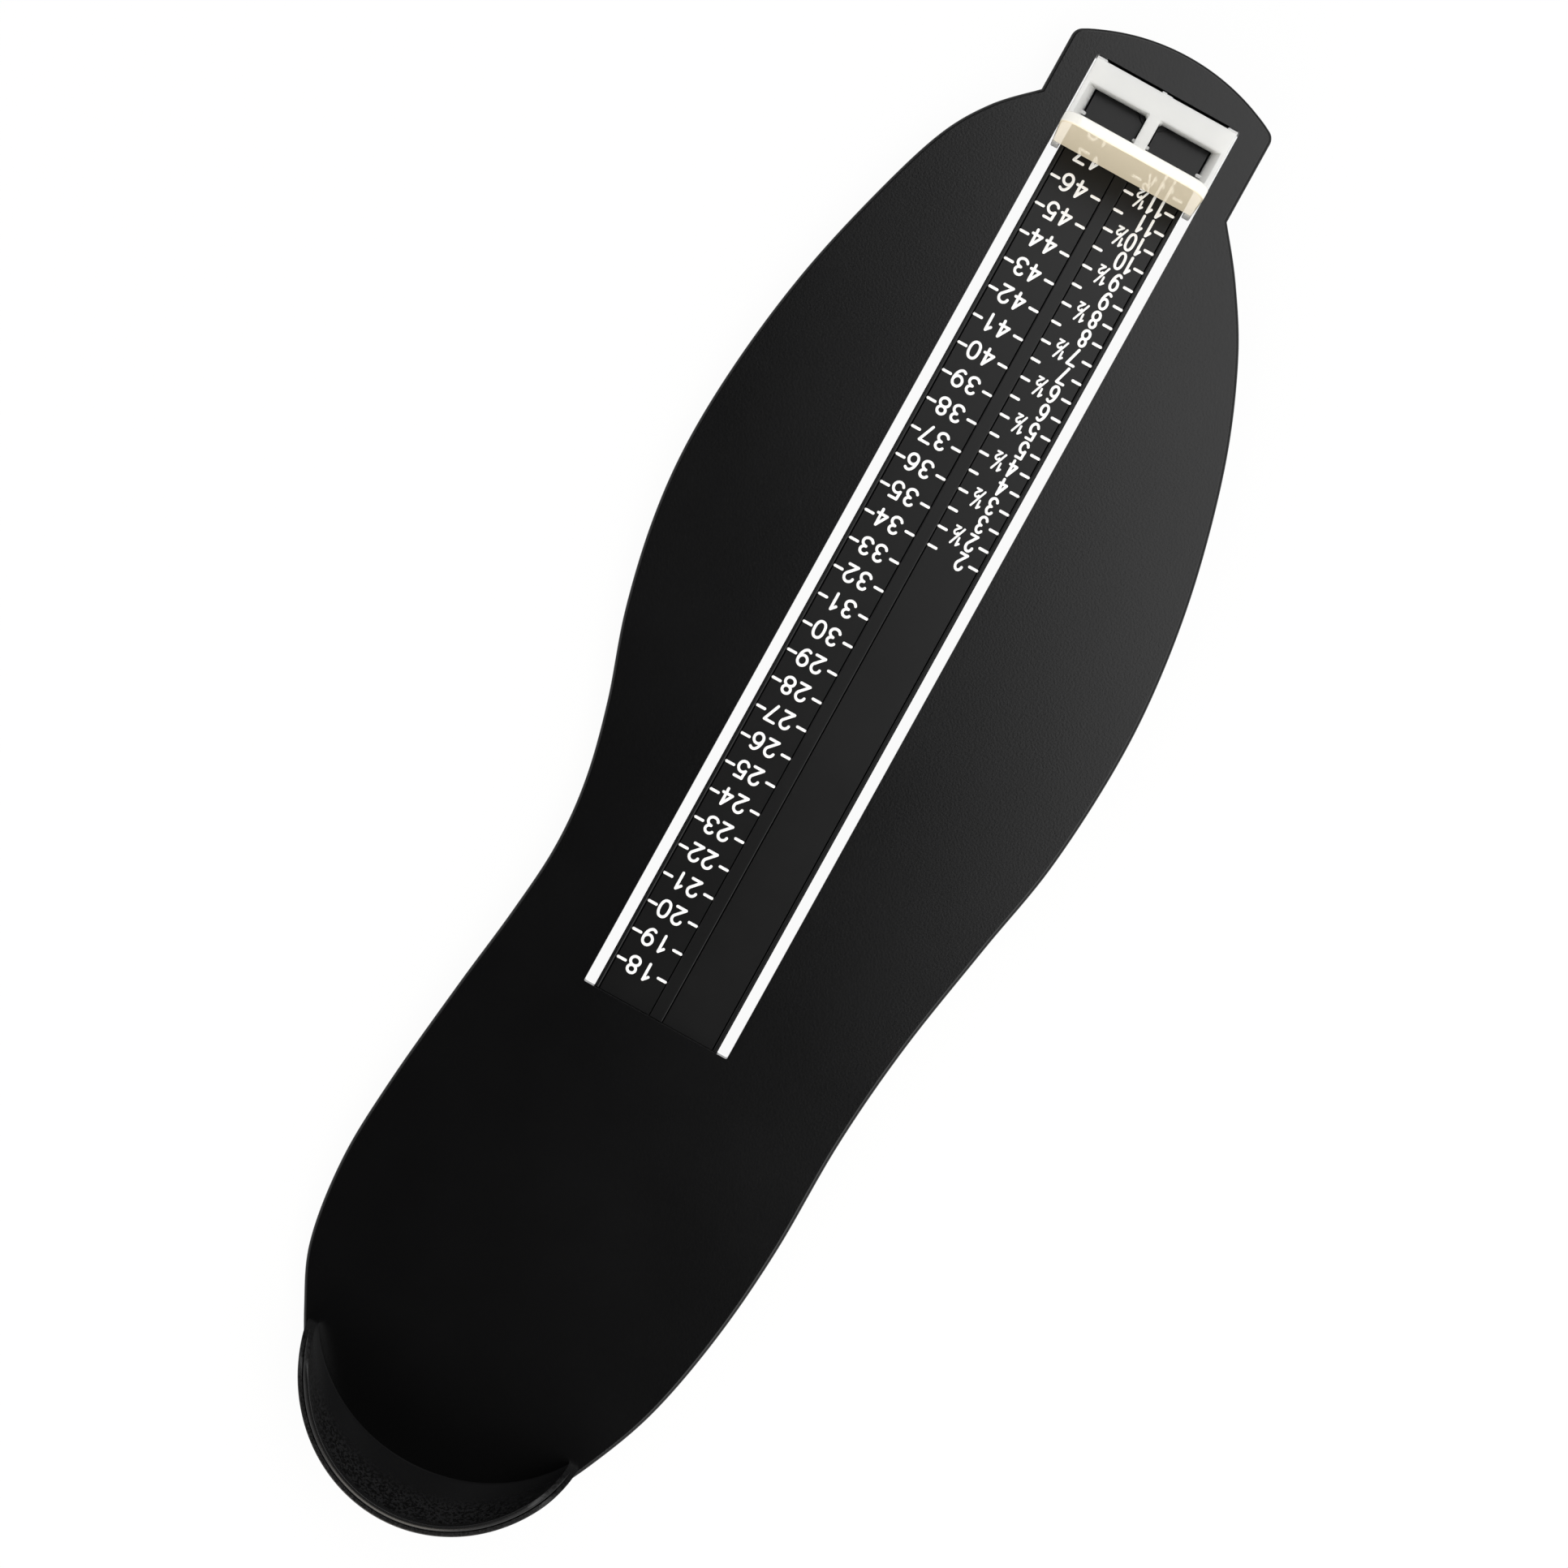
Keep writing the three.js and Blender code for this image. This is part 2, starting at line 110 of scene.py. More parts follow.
# An anticlockwise outline moved inwards, square to its edges
def inset(outline, distance):
    moved = []
    count = len(outline)
    for i, (x, y) in enumerate(outline):
        x0, y0 = outline[i - 1]
        x1, y1 = outline[(i + 1) % count]
        inA = Vector((y0 - y, x - x0)).normalized()
        inB = Vector((y - y1, x1 - x)).normalized()
        mitre = (inA + inB) / (1 + inA.dot(inB))
        moved.append((x + mitre.x * distance, y + mitre.y * distance))
    return moved


def atHeight(outline, z):
    return [(x, y, z) for x, y in outline]


# Distances inwards and along for an edge rounded from a side to an end
def roundingSteps(radius, steps):
    turns = [math.pi / 2 * k / steps for k in range(steps + 1)]
    return [(radius * (1 - math.cos(t)), radius * (1 - math.sin(t))) for t in turns]


# Rings for a solid over an outline, with its lower and upper edges rounded
def roundedRings(outline, z0, z1, lowRadius, topRadius, steps=4):
    low = [atHeight(inset(outline, i), z0 + along) for i, along in roundingSteps(lowRadius, steps)]
    top = [atHeight(inset(outline, i), z1 - along) for i, along in roundingSteps(topRadius, steps)]
    return low[::-1] + top


# Rings for a hole through a face at z1, with the edge that it leaves there rounded over
def lippedRings(outline, z0, z1, lipRadius, steps=4):
    rings = [atHeight(outline, z0)]
    rings += [atHeight(inset(outline, -i), z1 - along) for i, along in roundingSteps(lipRadius, steps)]
    rings.append(atHeight(inset(outline, -lipRadius), z1 + past))
    return rings


def arcPoints(centre, halfWidth, halfHeight, start, end, steps=10):
    turns = [math.radians(start + (end - start) * k / steps) for k in range(steps + 1)]
    return [(centre[0] + halfWidth * math.cos(t), centre[1] + halfHeight * math.sin(t)) for t in turns]


# A rectangle with rounded corners, anticlockwise
def roundedRectangle(x0, x1, y0, y1, radius, steps=5):
    points = []
    corners = ((x1 - radius, y0 + radius, -90), (x1 - radius, y1 - radius, 0),
               (x0 + radius, y1 - radius, 90), (x0 + radius, y0 + radius, 180))
    for x, y, start in corners:
        points += arcPoints((x, y), radius, radius, start, start + 90, steps)
    return points


def plainBlock(name, x0, x1, y0, y1, z0, z1):
    outline = [(x0, y0), (x1, y0), (x1, y1), (x0, y1)]
    return ringSolid(name, [atHeight(outline, z0), atHeight(outline, z1)])


# Joins or cuts a piece with others, which are used up
def combine(piece, operation, others):
    for other in others:
        step = piece.modifiers.new(operation.lower(), "BOOLEAN")
        step.operation = operation
        step.solver = "MANIFOLD"
        step.object = other
        applyModifiers(piece)
        bpy.data.objects.remove(other)
    return piece


def applyModifiers(piece):
    bpy.context.view_layer.update()
    done = piece.evaluated_get(bpy.context.evaluated_depsgraph_get())
    mesh = bpy.data.meshes.new_from_object(done)
    piece.modifiers.clear()
    piece.data = mesh


# Even shading where large flat faces meet small rounded ones. Level faces stay flat.
def finishShading(piece):
    smoothShade(piece, sharpAngle)
    for face in piece.data.polygons:
        if abs(face.normal.z) > levelFace:
            face.use_smooth = False
    weigh = piece.modifiers.new("weigh", "WEIGHTED_NORMAL")
    weigh.keep_sharp = True
    weigh.weight = 100
    applyModifiers(piece)


# Shader nodes

class Wire:
    # A socket's value, which can be added, multiplied and so on
    def __init__(self, paint, socket):
        self.paint = paint
        self.socket = socket

    def maths(self, operation, *values):
        return self.paint.node("ShaderNodeMath", {"operation": operation}, dict(enumerate(values)))

    def __add__(self, other):
        return self.maths("ADD", self, other)

    def __radd__(self, other):
        return self.maths("ADD", other, self)

    def __sub__(self, other):
        return self.maths("SUBTRACT", self, other)

    def __rsub__(self, other):
        return self.maths("SUBTRACT", other, self)

    def __mul__(self, other):
        return self.maths("MULTIPLY", self, other)

    def __rmul__(self, other):
        return self.maths("MULTIPLY", other, self)

    def __abs__(self):
        return self.maths("ABSOLUTE", self)

    def orMore(self, other):
        return self.maths("MAXIMUM", self, other)


class Paint:
    # One node tree and the nodes in it
    def __init__(self, tree):
        self.tree = tree
        self.tree.nodes.clear()

    def node(self, kind, settings=None, sockets=None, out=0):
        made = self.tree.nodes.new(kind)
        for key, value in (settings or {}).items():
            setattr(made, key, value)
        for key, value in (sockets or {}).items():
            if isinstance(value, Wire):
                self.tree.links.new(value.socket, made.inputs[key])
            else:
                made.inputs[key].default_value = value
        return Wire(self, made.outputs[out] if made.outputs else None)

    def spot(self):
        return self.node("ShaderNodeTexCoord", out="Object")

    # 0 below one place along an axis and 1 above another, in millimetres
    def mask(self, axis, low, high):
        place = self.node("ShaderNodeSeparateXYZ", None, {0: self.spot()}, axis)
        return self.node("ShaderNodeMapRange", {"interpolation_type": "SMOOTHSTEP"},
                         {"Value": place, "From Min": low * mm, "From Max": high * mm})

    def noise(self, size, detail=2.0, rough=0.5):
        return self.node("ShaderNodeTexNoise", None,
                         {"Vector": self.spot(), "Scale": 1 / (size * mm), "Detail": detail,
                          "Roughness": rough}, "Fac")

    def blend(self, factor, first, second):
        return self.node("ShaderNodeMix", {"data_type": "RGBA"},
                         {"Factor": factor, 6: first, 7: second}, 2)

    def bump(self, height, depth):
        return self.node("ShaderNodeBump", None,
                         {"Strength": 1.0, "Distance": depth * mm, "Height": height}, "Normal")

    def plastic(self, sockets):
        shader = self.node("ShaderNodeBsdfPrincipled", None, sockets)
        self.node("ShaderNodeOutputMaterial", None, {"Surface": shader})


def rgba(colour, share=1):
    return (colour[0] * share, colour[1] * share, colour[2] * share, 1)


def newMaterial(name):
    material = bpy.data.materials.new(name)
    material.use_nodes = True
    return material, Paint(material.node_tree)


def dress(piece, material, body, node=None):
    piece.data.materials.clear()
    piece.data.materials.append(material)
    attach(piece, body)
    if node:
        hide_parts(node)
    return piece


# The sole plate

plateFinish = {
    "colour": (0.0021, 0.0021, 0.0023),
    "darkest": 0.6,
    "cupShadeShare": 0.02,      # painted shade: the floor of the cup is made the darkest place
    "cupShadeLow": -158,
    "cupShadeHigh": -133,
    "cloudSize": 28,
    "roughness": 0.225,
    "roughnessRange": 0.05,
    "ior": 1.36,
    "grainSize": 0.5,
    "grainDepth": 0.0145,
}


def blackPlateFinish():
    material, paint = newMaterial("blackPlate")
    cloud = paint.noise(plateFinish["cloudSize"], detail=3)
    grain = paint.noise(plateFinish["grainSize"], detail=2.5, rough=0.6)
    colour = paint.blend(cloud, rgba(plateFinish["colour"], plateFinish["darkest"]),
                         rgba(plateFinish["colour"]))
    # Painted shade: towards the heel the plate's colour falls to a small share, darkening the floor of the
    # cup
    front = paint.mask("Y", plateFinish["cupShadeLow"], plateFinish["cupShadeHigh"])
    paint.plastic({
        "IOR": plateFinish["ior"],
        "Base Color": paint.blend(front, rgba(plateFinish["colour"], plateFinish["cupShadeShare"]), colour),
        "Roughness": (cloud - 0.5) * plateFinish["roughnessRange"] + plateFinish["roughness"],
        "Normal": paint.bump(grain, plateFinish["grainDepth"]),
    })
    return material


plate = {
    "edgeRadius": 0.8,
    "edgeSteps": 6,
    "flatBand": 0.5,
    "footRadius": 0.3,
    "thickness": 2.2,
    "skirtWall": 2.0,
    "straightOver": 8,      # an outline edge longer than this stays straight
    "cornerOver": 25,       # an outline corner sharper than this stays a corner
    "stepLength": 1.2,
    "ribWall": 1.6,
    "ribPitch": 31,
    "ribFirst": 14,
    "ribSideGap": 1.4,
    "ribRoot": 0.6,
    "bedThickness": 2,
    "bedOverlap": 3,
    "bedRibFoot": 1.2,
    "slotWidth": 2.38,
    "stripEndGap": 0.2,
    "slotCorner": 0.3,
    "lipRadius": 0.04,      # the edge of the channel
}


# The frame's outline at one height, in order round the plate
def outlineAt(name, z):
    work = bmesh.new()
    work.from_mesh(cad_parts[name].data)
    bmesh.ops.remove_doubles(work, verts=work.verts, dist=sameSpot)
    level = {v for v in work.verts if abs(v.co.z / mm - z) < sameHeight}
    ring = [min(level, key=lambda v: v.co.y)]
    seen = set(ring)
    while True:
        near = [e.other_vert(ring[-1]) for e in ring[-1].link_edges]
        near = [v for v in near if v in level and v not in seen]
        if not near:
            break
        ring.append(near[0])
        seen.add(near[0])
    points = [(v.co.x / mm, v.co.y / mm) for v in ring]
    work.free()
    area = sum(a[0] * b[1] - b[0] * a[1] for a, b in zip(points, points[1:] + points[:1]))
    return points if area > 0 else points[::-1]


# A smooth curve through an outline's points that keeps its corners and straight stretches
def smoothOutline(points):
    count = len(points)
    spots = [Vector(p) for p in points]
    chords = [spots[(i + 1) % count] - spots[i] for i in range(count)]
    straight = [c.length > plate["straightOver"] for c in chords]
    corner = [chords[i - 1].angle(chords[i]) > math.radians(plate["cornerOver"]) for i in range(count)]

    def slope(i, chord):
        before, after = chords[i - 1], chords[i]
        if corner[i]:
            return chords[chord].normalized()
        if straight[i - 1] or straight[i]:
            return (before if straight[i - 1] else after).normalized()
        return (before / before.length ** 2 + after / after.length ** 2).normalized()

    smooth = []
    for i in range(count):
        j = (i + 1) % count
        length = chords[i].length
        pieces = 1 if straight[i] else max(1, round(length / plate["stepLength"]))
        a, b = slope(i, i) * length, slope(j, i) * length
        for k in range(pieces):
            t = k / pieces
            spot = spots[i] * (2 * t ** 3 - 3 * t ** 2 + 1) + a * (t ** 3 - 2 * t ** 2 + t)
            spot += spots[j] * (3 * t ** 2 - 2 * t ** 3) + b * (t ** 3 - t ** 2)
            smooth.append((spot.x, spot.y))
    return smooth


def ribBlocks(heelStop, toeStop, pathHalf, top):
    wall = plate["ribWall"]
    left, right = plateLow.x - past, plateHigh.x + past
    blocks = [plainBlock("rib", axisX - wall / 2, axisX + wall / 2, plateLow.y - past, heelStop, 0, top)]
    for x0 in (axisX - pathHalf - wall, axisX + pathHalf):
        blocks.append(plainBlock("rib", x0, x0 + wall, heelStop - wall, toeStop, 0, top))
    for y0 in (heelStop - wall, toeStop):
        blocks.append(plainBlock("rib", left, right, y0, y0 + wall, 0, top))
    y0 = zeroY + plate["ribFirst"]
    while y0 + wall < plateHigh.y:
        if heelStop - 2 * wall < y0 < toeStop:
            blocks.append(plainBlock("rib", left, axisX - pathHalf, y0, y0 + wall, 0, top))
            blocks.append(plainBlock("rib", axisX + pathHalf, right, y0, y0 + wall, 0, top))
        else:
            blocks.append(plainBlock("rib", left, right, y0, y0 + wall, 0, top))
        y0 += plate["ribPitch"]
    return blocks


def makeSolePlate(material):
    ring = outlineAt("sole_plate", plateTop - plate["edgeRadius"])
    outline = smoothOutline(ring)
    rings = roundedRings(outline, 0, plateTop, plate["footRadius"], plate["edgeRadius"], plate["edgeSteps"])
    rings.append(atHeight(inset(outline, plate["edgeRadius"] + plate["flatBand"]), plateTop))
    piece = ringSolid("solePlate", rings)
    under = plateTop - plate["thickness"]
    hollow = inset(outline, plate["skirtWall"])
    combine(piece, "DIFFERENCE", [ringSolid("hollow", [atHeight(hollow, -past), atHeight(hollow, under)])])

    slotStart = stripLow.y - plate["stripEndGap"]
    slotEnd = stripHigh.y + plate["stripEndGap"]
    slotOuter = stripHigh.x - axisX + plate["slotWidth"]
    bedTop = stripLow.z
    bedUnder = bedTop - plate["bedThickness"]
    ribTop = under + plate["ribRoot"]
    heelStop = slotStart - plate["bedOverlap"]
    toeStop = slotEnd + plate["bedOverlap"]
    blocks = ribBlocks(heelStop, toeStop, slotOuter + plate["ribSideGap"], ribTop)
    ribs = combine(blocks[0], "UNION", blocks[1:])
    reach = inset(outline, plate["skirtWall"] - plate["ribRoot"])
    limits = ringSolid("reach", [atHeight(reach, -past), atHeight(reach, ribTop + past)])
    combine(ribs, "INTERSECT", [limits])
    half = plate["ribWall"] / 2
    bed = plainBlock("bed", axisX - slotOuter, axisX + slotOuter, heelStop, toeStop, bedUnder, ribTop)
    bedRib = plainBlock("bedRib", axisX - half, axisX + half, heelStop - half, toeStop + half,
                        plate["bedRibFoot"], bedUnder + plate["ribRoot"])
    combine(piece, "UNION", [ribs, bed, bedRib])

    corner = plate["slotCorner"]
    channel = roundedRectangle(axisX - slotOuter, axisX + slotOuter, slotStart, slotEnd, corner, steps=3)
    cutter = ringSolid("channel", lippedRings(channel, bedTop, plateTop, plate["lipRadius"]))
    combine(piece, "DIFFERENCE", [cutter])
    slotInner = slotOuter - plate["slotWidth"]
    for near, far in ((-slotOuter, -slotInner), (slotInner, slotOuter)):
        plan = roundedRectangle(axisX + near, axisX + far, slotStart, slotEnd, corner, steps=3)
        slot = ringSolid("slot", [atHeight(plan, -past), atHeight(plan, bedTop + past)])
        combine(piece, "DIFFERENCE", [slot])
    finishShading(piece)
    print("sole plate made,", len(outline), "outline points")
    return dress(piece, material, "base", "sole_plate")


# The heel cup

cupFinish = {
    "colour": (0.0065, 0.0065, 0.0068),
    "darkest": 0.02,
    "lightest": 1.8,
    "speckSize": 0.6,
    "speckLevel": 0.42,     # the noise above this makes light specks
    "speckContrast": 6,
    "roughness": 0.25,
    "upperRoughness": 0.1,
    "ior": 1.36,
    "grainSize": 0.55,
    "grainDepth": 0.05,
    "grainLow": 12,         # the wall is smooth below and grained above
    "grainHigh": 17,
    "lowShare": 0.1,        # how much of the grain is left below
    "fineSize": 0.4,
    "fineShare": 0.35,
    "rimDepth": 1.2,
}


def blackCupFinish():
    material, paint = newMaterial("blackCup")
    ridges = abs(paint.noise(cupFinish["grainSize"], detail=1.5) - 0.5) * 2
    fine = paint.noise(cupFinish["grainSize"] * cupFinish["fineSize"], detail=1)
    grain = ridges + fine * cupFinish["fineShare"]
    rim = paint.mask("Z", cupHigh.z - cupFinish["rimDepth"], cupHigh.z - cupFinish["rimDepth"] / 2)
    upper = paint.mask("Z", cupFinish["grainLow"], cupFinish["grainHigh"]) * (1 - rim)
    depth = upper * (1 - cupFinish["lowShare"]) + cupFinish["lowShare"]
    specks = paint.noise(cupFinish["speckSize"], detail=1)
    light = (specks - cupFinish["speckLevel"]) * cupFinish["speckContrast"]
    speckled = paint.blend(light,
                           rgba(cupFinish["colour"], cupFinish["darkest"]),
                           rgba(cupFinish["colour"], cupFinish["lightest"]))
    paint.plastic({
        "IOR": cupFinish["ior"],
        "Base Color": paint.blend(upper, rgba(cupFinish["colour"]), speckled),
        "Roughness": upper * cupFinish["upperRoughness"] + cupFinish["roughness"],
        "Normal": paint.bump(grain * depth, cupFinish["grainDepth"]),
    })
    return material


cup = {
    "centreX": -0.6,
    "centreY": 31.8,
    "halfWidth": 32.55,
    "halfLength": 34.75,
    "tipBack": 8.9,
    "noseLength": 9,
    "rimWall": 2.5,
    "rimLedge": 1.3,
    "rimLedgeDrop": 1.0,
    # half width, half length and centre of the crease, where the wall meets the plate
    "crease": (34.5, 31.7, -0.74, 38.5),
    "noseThinning": 0.15,
    "flareLeft": 1.0,
    "flareRight": 0.3,
    "skew": 0.45,
    "coveShape": 1.15,      # 1 is a straight slope, more is hollower
    "rimRadius": 0.12,
    "rimRollWidth": 1.08,
    "rimRollDrop": 0.55,    # the rim falls away outwards
    "ledgeRadius": 0.35,
    "ledgeGroove": 0.35,
    "ledgeGrooveDepth": 0.5,
    "sunk": 0.3,
    "stations": 160,
    "coveSteps": 18,
    "roundSteps": 5,
    "rollSteps": 9,
}


# How far the hollow has opened from its crease at the plate at a share of the cup's height
def openingAt(rise):
    return 1 - (1 - rise) ** cup["coveShape"]


# The cup's section from the outer foot over the rim to the crease: each level gives how far it lies
# from the crease towards the wall, how far inside the wall it is, and its height above the plate
def cupLevels():
    height = cupHigh.z - plateTop
    ledge = height - cup["rimLedgeDrop"]
    levels = [(1, 0, -cup["sunk"])]
    for inward, along in roundingSteps(cup["ledgeRadius"], cup["roundSteps"]):
        levels.append((1, inward, ledge - along))
    levels.append((1, cup["rimLedge"] - cup["ledgeGroove"], ledge))
    levels.append((1, cup["rimLedge"], ledge - cup["ledgeGrooveDepth"]))
    for inward, along in roundingSteps(1, cup["rollSteps"]):
        roll = cup["rimLedge"] + inward * cup["rimRollWidth"]
        levels.append((1, roll, height - along * cup["rimRollDrop"]))
    for inward, along in roundingSteps(cup["rimRadius"], cup["roundSteps"])[::-1]:
        levels.append((1, cup["rimWall"] - inward, height - along))
    start = 1 - cup["rimRadius"] / height
    for k in range(1, cup["coveSteps"] + 1):
        rise = start * (1 - k / cup["coveSteps"])
        levels.append((openingAt(rise), cup["rimWall"], rise * height))
    levels.append((0, cup["rimWall"], -cup["sunk"]))
    return levels


# A place on one level, and how far along the nose it is. Towards the tips the wall gets thinner and
# bends outwards, and the back of the cup leans a little to the right.
def cupSpot(opening, inward, share, along):
    inward *= 1 - cup["noseThinning"] * along
    wall = (cup["halfWidth"] - inward, cup["halfLength"] - inward, cup["centreX"], cup["centreY"])
    halfWidth, halfLength, centreX, centreY = [a + (b - a) * opening for a, b in zip(cup["crease"], wall)]
    tipY = cup["centreY"] - cup["tipBack"]
    lift = math.asin((centreY - tipY) / halfLength)
    turn = math.pi + lift + (math.pi - 2 * lift) * share
    x = centreX + halfWidth * math.cos(turn)
    y = centreY + halfLength * math.sin(turn)
    flare = (cup["flareRight"] if x > 0 else -cup["flareLeft"]) * along ** 2
    x += (flare + cup["skew"] * (centreY - y) / halfLength) * opening
    return x, y, min(1, max(0, (y - tipY) / cup["noseLength"] + 1))


def makeHeelCup(material):
    levels = cupLevels()
    width = len(levels)
    points = []
    for s in range(cup["stations"] + 1):
        share = (1 - math.cos(math.pi * s / cup["stations"])) / 2
        for opening, inward, rise in levels:
            along = cupSpot(opening, inward, share, 0)[2]
            x, y, along = cupSpot(opening, inward, share, along)
            sunk = min(rise, 0)
            z = plateTop + sunk + (rise - sunk) * math.sqrt(1 - along ** 2)
            points.append((axisX + x, zeroY + y, z))
    faces = [list(range(width)), [cup["stations"] * width + i for i in range(width)]]
    for s in range(cup["stations"]):
        for i in range(width):
            j = (i + 1) % width
            faces.append([s * width + i, (s + 1) * width + i, (s + 1) * width + j, s * width + j])
    piece = makeMesh("heelCup", points, faces)
    print("heel cup made,", len(points), "points")
    return dress(piece, material, "base", "heel_cup")


# The scale strip: two sunk fields between side lips and a middle rib

stripFinish = {
    "colour": (0.0018, 0.0018, 0.0019),
    "darkest": 0.8,
    "cloudSize": 14,
    "roughness": 0.3,
    "roughnessRange": 0.06,
    "ior": 1.36,
    "grainSize": 0.4,
    "grainDepth": 0.004,
}


def blackStripFinish():
    material, paint = newMaterial("blackStrip")
    cloud = paint.noise(stripFinish["cloudSize"], detail=3)
    paint.plastic({
        "IOR": stripFinish["ior"],
        "Base Color": paint.blend(cloud, rgba(stripFinish["colour"], stripFinish["darkest"]),
                                  rgba(stripFinish["colour"])),
        "Roughness": (cloud - 0.5) * stripFinish["roughnessRange"] + stripFinish["roughness"],
        "Normal": paint.bump(paint.noise(stripFinish["grainSize"]), stripFinish["grainDepth"]),
    })
    return material


strip = {
    "lipWidth": 1.0,
    "ribWidth": 2.9,
    "fieldDepth": 0.35,
    "edgeRadius": 0.1,
    "lipRadius": 0.3,       # the lips' edges towards the fields
    "ribRadius": 0.2,
    "stepWidth": 0.2,
    "stepDepth": 0.5,
    "seamWidth": 0.24,      # the narrow seams round the fields
    "seamDepth": 0.26,
    "stakeRadius": 4.05,
    "stakeGroove": 0.3,
    "stakeGrooveDepth": 0.45,
    "stakeFromEnd": 4.35,
    "stakeSteps": 72,
}


# The ring-shaped cutter of the stake that holds the strip's toe end
def stakeRing(floor, top):
    outer = strip["stakeRadius"]
    inner = outer - strip["stakeGroove"]
    centre = (axisX, stripHigh.y - strip["stakeFromEnd"])
    count = strip["stakeSteps"]
    corners = ((inner, floor), (outer, floor), (outer, top), (inner, top))
    points = []
    for radius, z in corners:
        points += [(x, y, z) for x, y in arcPoints(centre, radius, radius, 0, 360, count)[:-1]]
    faces = []
    for r in range(4):
        n = (r + 1) % 4
        for i in range(count):
            j = (i + 1) % count
            faces.append([r * count + i, r * count + j, n * count + j, n * count + i])
    return makeMesh("stakeRing", points, faces)


def makeScaleStrip(material):
    top = stripHigh.z
    floor = top - strip["fieldDepth"]
    half = stripHigh.x - axisX
    edge, lip, rib = strip["edgeRadius"], strip["lipRadius"], strip["ribRadius"]
    fieldOuter = half - strip["lipWidth"]
    fieldInner = strip["ribWidth"] / 2
    shelf = top - strip["stepDepth"]
    lipEnd = half - strip["stepWidth"]
    seam, deep = strip["seamWidth"], floor - strip["seamDepth"]
    right = [(half, stripLow.z), (half, shelf), (lipEnd, shelf)]
    right += arcPoints((lipEnd - edge, top - edge), edge, edge, 0, 90, steps=3)
    right += arcPoints((fieldOuter + lip, top - lip), lip, lip, 90, 180, steps=5)
    right += [(fieldOuter, deep), (fieldOuter - seam, floor), (fieldInner + seam, floor), (fieldInner, deep)]
    right += arcPoints((fieldInner - rib, top - rib), rib, rib, 0, 90, steps=5)
    profile = right + [(-x, z) for x, z in reversed(right)]
    rings = [[(axisX + x, y, z) for x, z in profile] for y in (stripLow.y, stripHigh.y)]
    piece = ringSolid("scaleStrip", rings)
    combine(piece, "DIFFERENCE", [stakeRing(floor - strip["stakeGrooveDepth"], top + past)])
    finishShading(piece)
    print("scale strip made")
    return dress(piece, material, "base", "scale_strip")


# The printed figures and lines, drawn as low beads of paint

paintFinish = {
    "colour": (0.98, 0.98, 0.98),
    "darkest": 0.95,
    "cloudSize": 1.5,
    "roughness": 0.45,
    "ior": 1.45,
}


def whitePaintFinish():
    material, paint = newMaterial("whitePaint")
    paint.plastic({
        "Base Color": paint.blend(paint.noise(paintFinish["cloudSize"]),
                                  rgba(paintFinish["colour"], paintFinish["darkest"]),
                                  rgba(paintFinish["colour"])),
        "Roughness": paintFinish["roughness"],
        "IOR": paintFinish["ior"],
    })
    return material


figures = {
    "height": 0.06,
    "heightStep": 0.005,    # crossing strokes lie at slightly different heights
    "heights": 5,
    "sunk": 0.03,
    "endAngles": (22, 45, 67, 86),      # steps round the end of a stroke
    "sharpAngle": 80,
    "tickLength": 2.35,
    "tickStroke": 0.62,
    "leftFirst": 18,
    "leftLast": 47,
    "leftTicks": (-12.34, -2.8),
    "leftDigits": (-6.32, -9.54),
    "leftWidth": 2.75,
    "leftHeight": 4.2,
    "leftStroke": 0.62,
    "rightFirst": 2,
    "rightLast": 11.5,
    "rightEvery": 0.5,
    "rightStep": 80 / 9,    # from one whole size to the next
    "rightAnchor": 11,
    "rightAnchorY": 306.6,
    "rightTicks": (2.68, 12.42),
    "rightDigit": 9.4,
    "rightPair": (10.2, 8.1),
    "rightWidth": 2.15,
    "rightHeight": 4.17,
    "rightStroke": 0.6,
    "halfCentre": 5.6,
    "halfAlone": 6.2,       # beside a single digit
    "halfWidth": 2.65,
    "halfHeight": 4.27,
    "halfStroke": 0.46,
}


# A closed loop between an ellipse and a rectangle
def loopPoints(centre, halfWidth, halfHeight, power=1.0, steps=28):
    points = []
    for k in range(steps + 1):
        turn = 2 * math.pi * k / steps
        c, s = math.cos(turn), math.sin(turn)
        x = centre[0] + halfWidth * math.copysign(abs(c) ** power, c)
        points.append((x, centre[1] + halfHeight * math.copysign(abs(s) ** power, s)))
    points[-1] = points[0]
    return points


# Strokes of each figure in a box one unit wide and one unit high
digitStrokes = {
    "0": [loopPoints((0.5, 0.5), 0.5, 0.5, 0.86)],
    "1": [[(0.55, 0), (0.55, 1)], [(0.55, 1), (0.16, 0.74)]],
    "2": [arcPoints((0.49, 0.71), 0.47, 0.29, 172, -32, 12) + [(0.02, 0)], [(0.02, 0), (1, 0)]],
    "3": [arcPoints((0.46, 0.765), 0.42, 0.235, 158, -90, 12),
          arcPoints((0.46, 0.265), 0.5, 0.265, 90, -160, 14)],
    "4": [[(0.7, 0), (0.7, 1)], [(0.7, 1), (0, 0.3)], [(0, 0.3), (1, 0.3)]],
    "5": [[(0.12, 1), (0.92, 1)], [(0.12, 1), (0.07, 0.55)],
          arcPoints((0.46, 0.325), 0.5, 0.325, 142, -155, 14)],
    "6": [loopPoints((0.5, 0.31), 0.48, 0.31), arcPoints((0.62, 0.36), 0.6, 0.64, 180, 62, 10)],
    "7": [[(0, 1), (1, 1)], [(1, 1), (0.32, 0)]],
    "8": [loopPoints((0.5, 0.765), 0.42, 0.235), loopPoints((0.5, 0.265), 0.49, 0.265)],
    "9": [loopPoints((0.5, 0.69), 0.48, 0.31), arcPoints((0.38, 0.64), 0.6, 0.64, 0, -118, 10)],
}

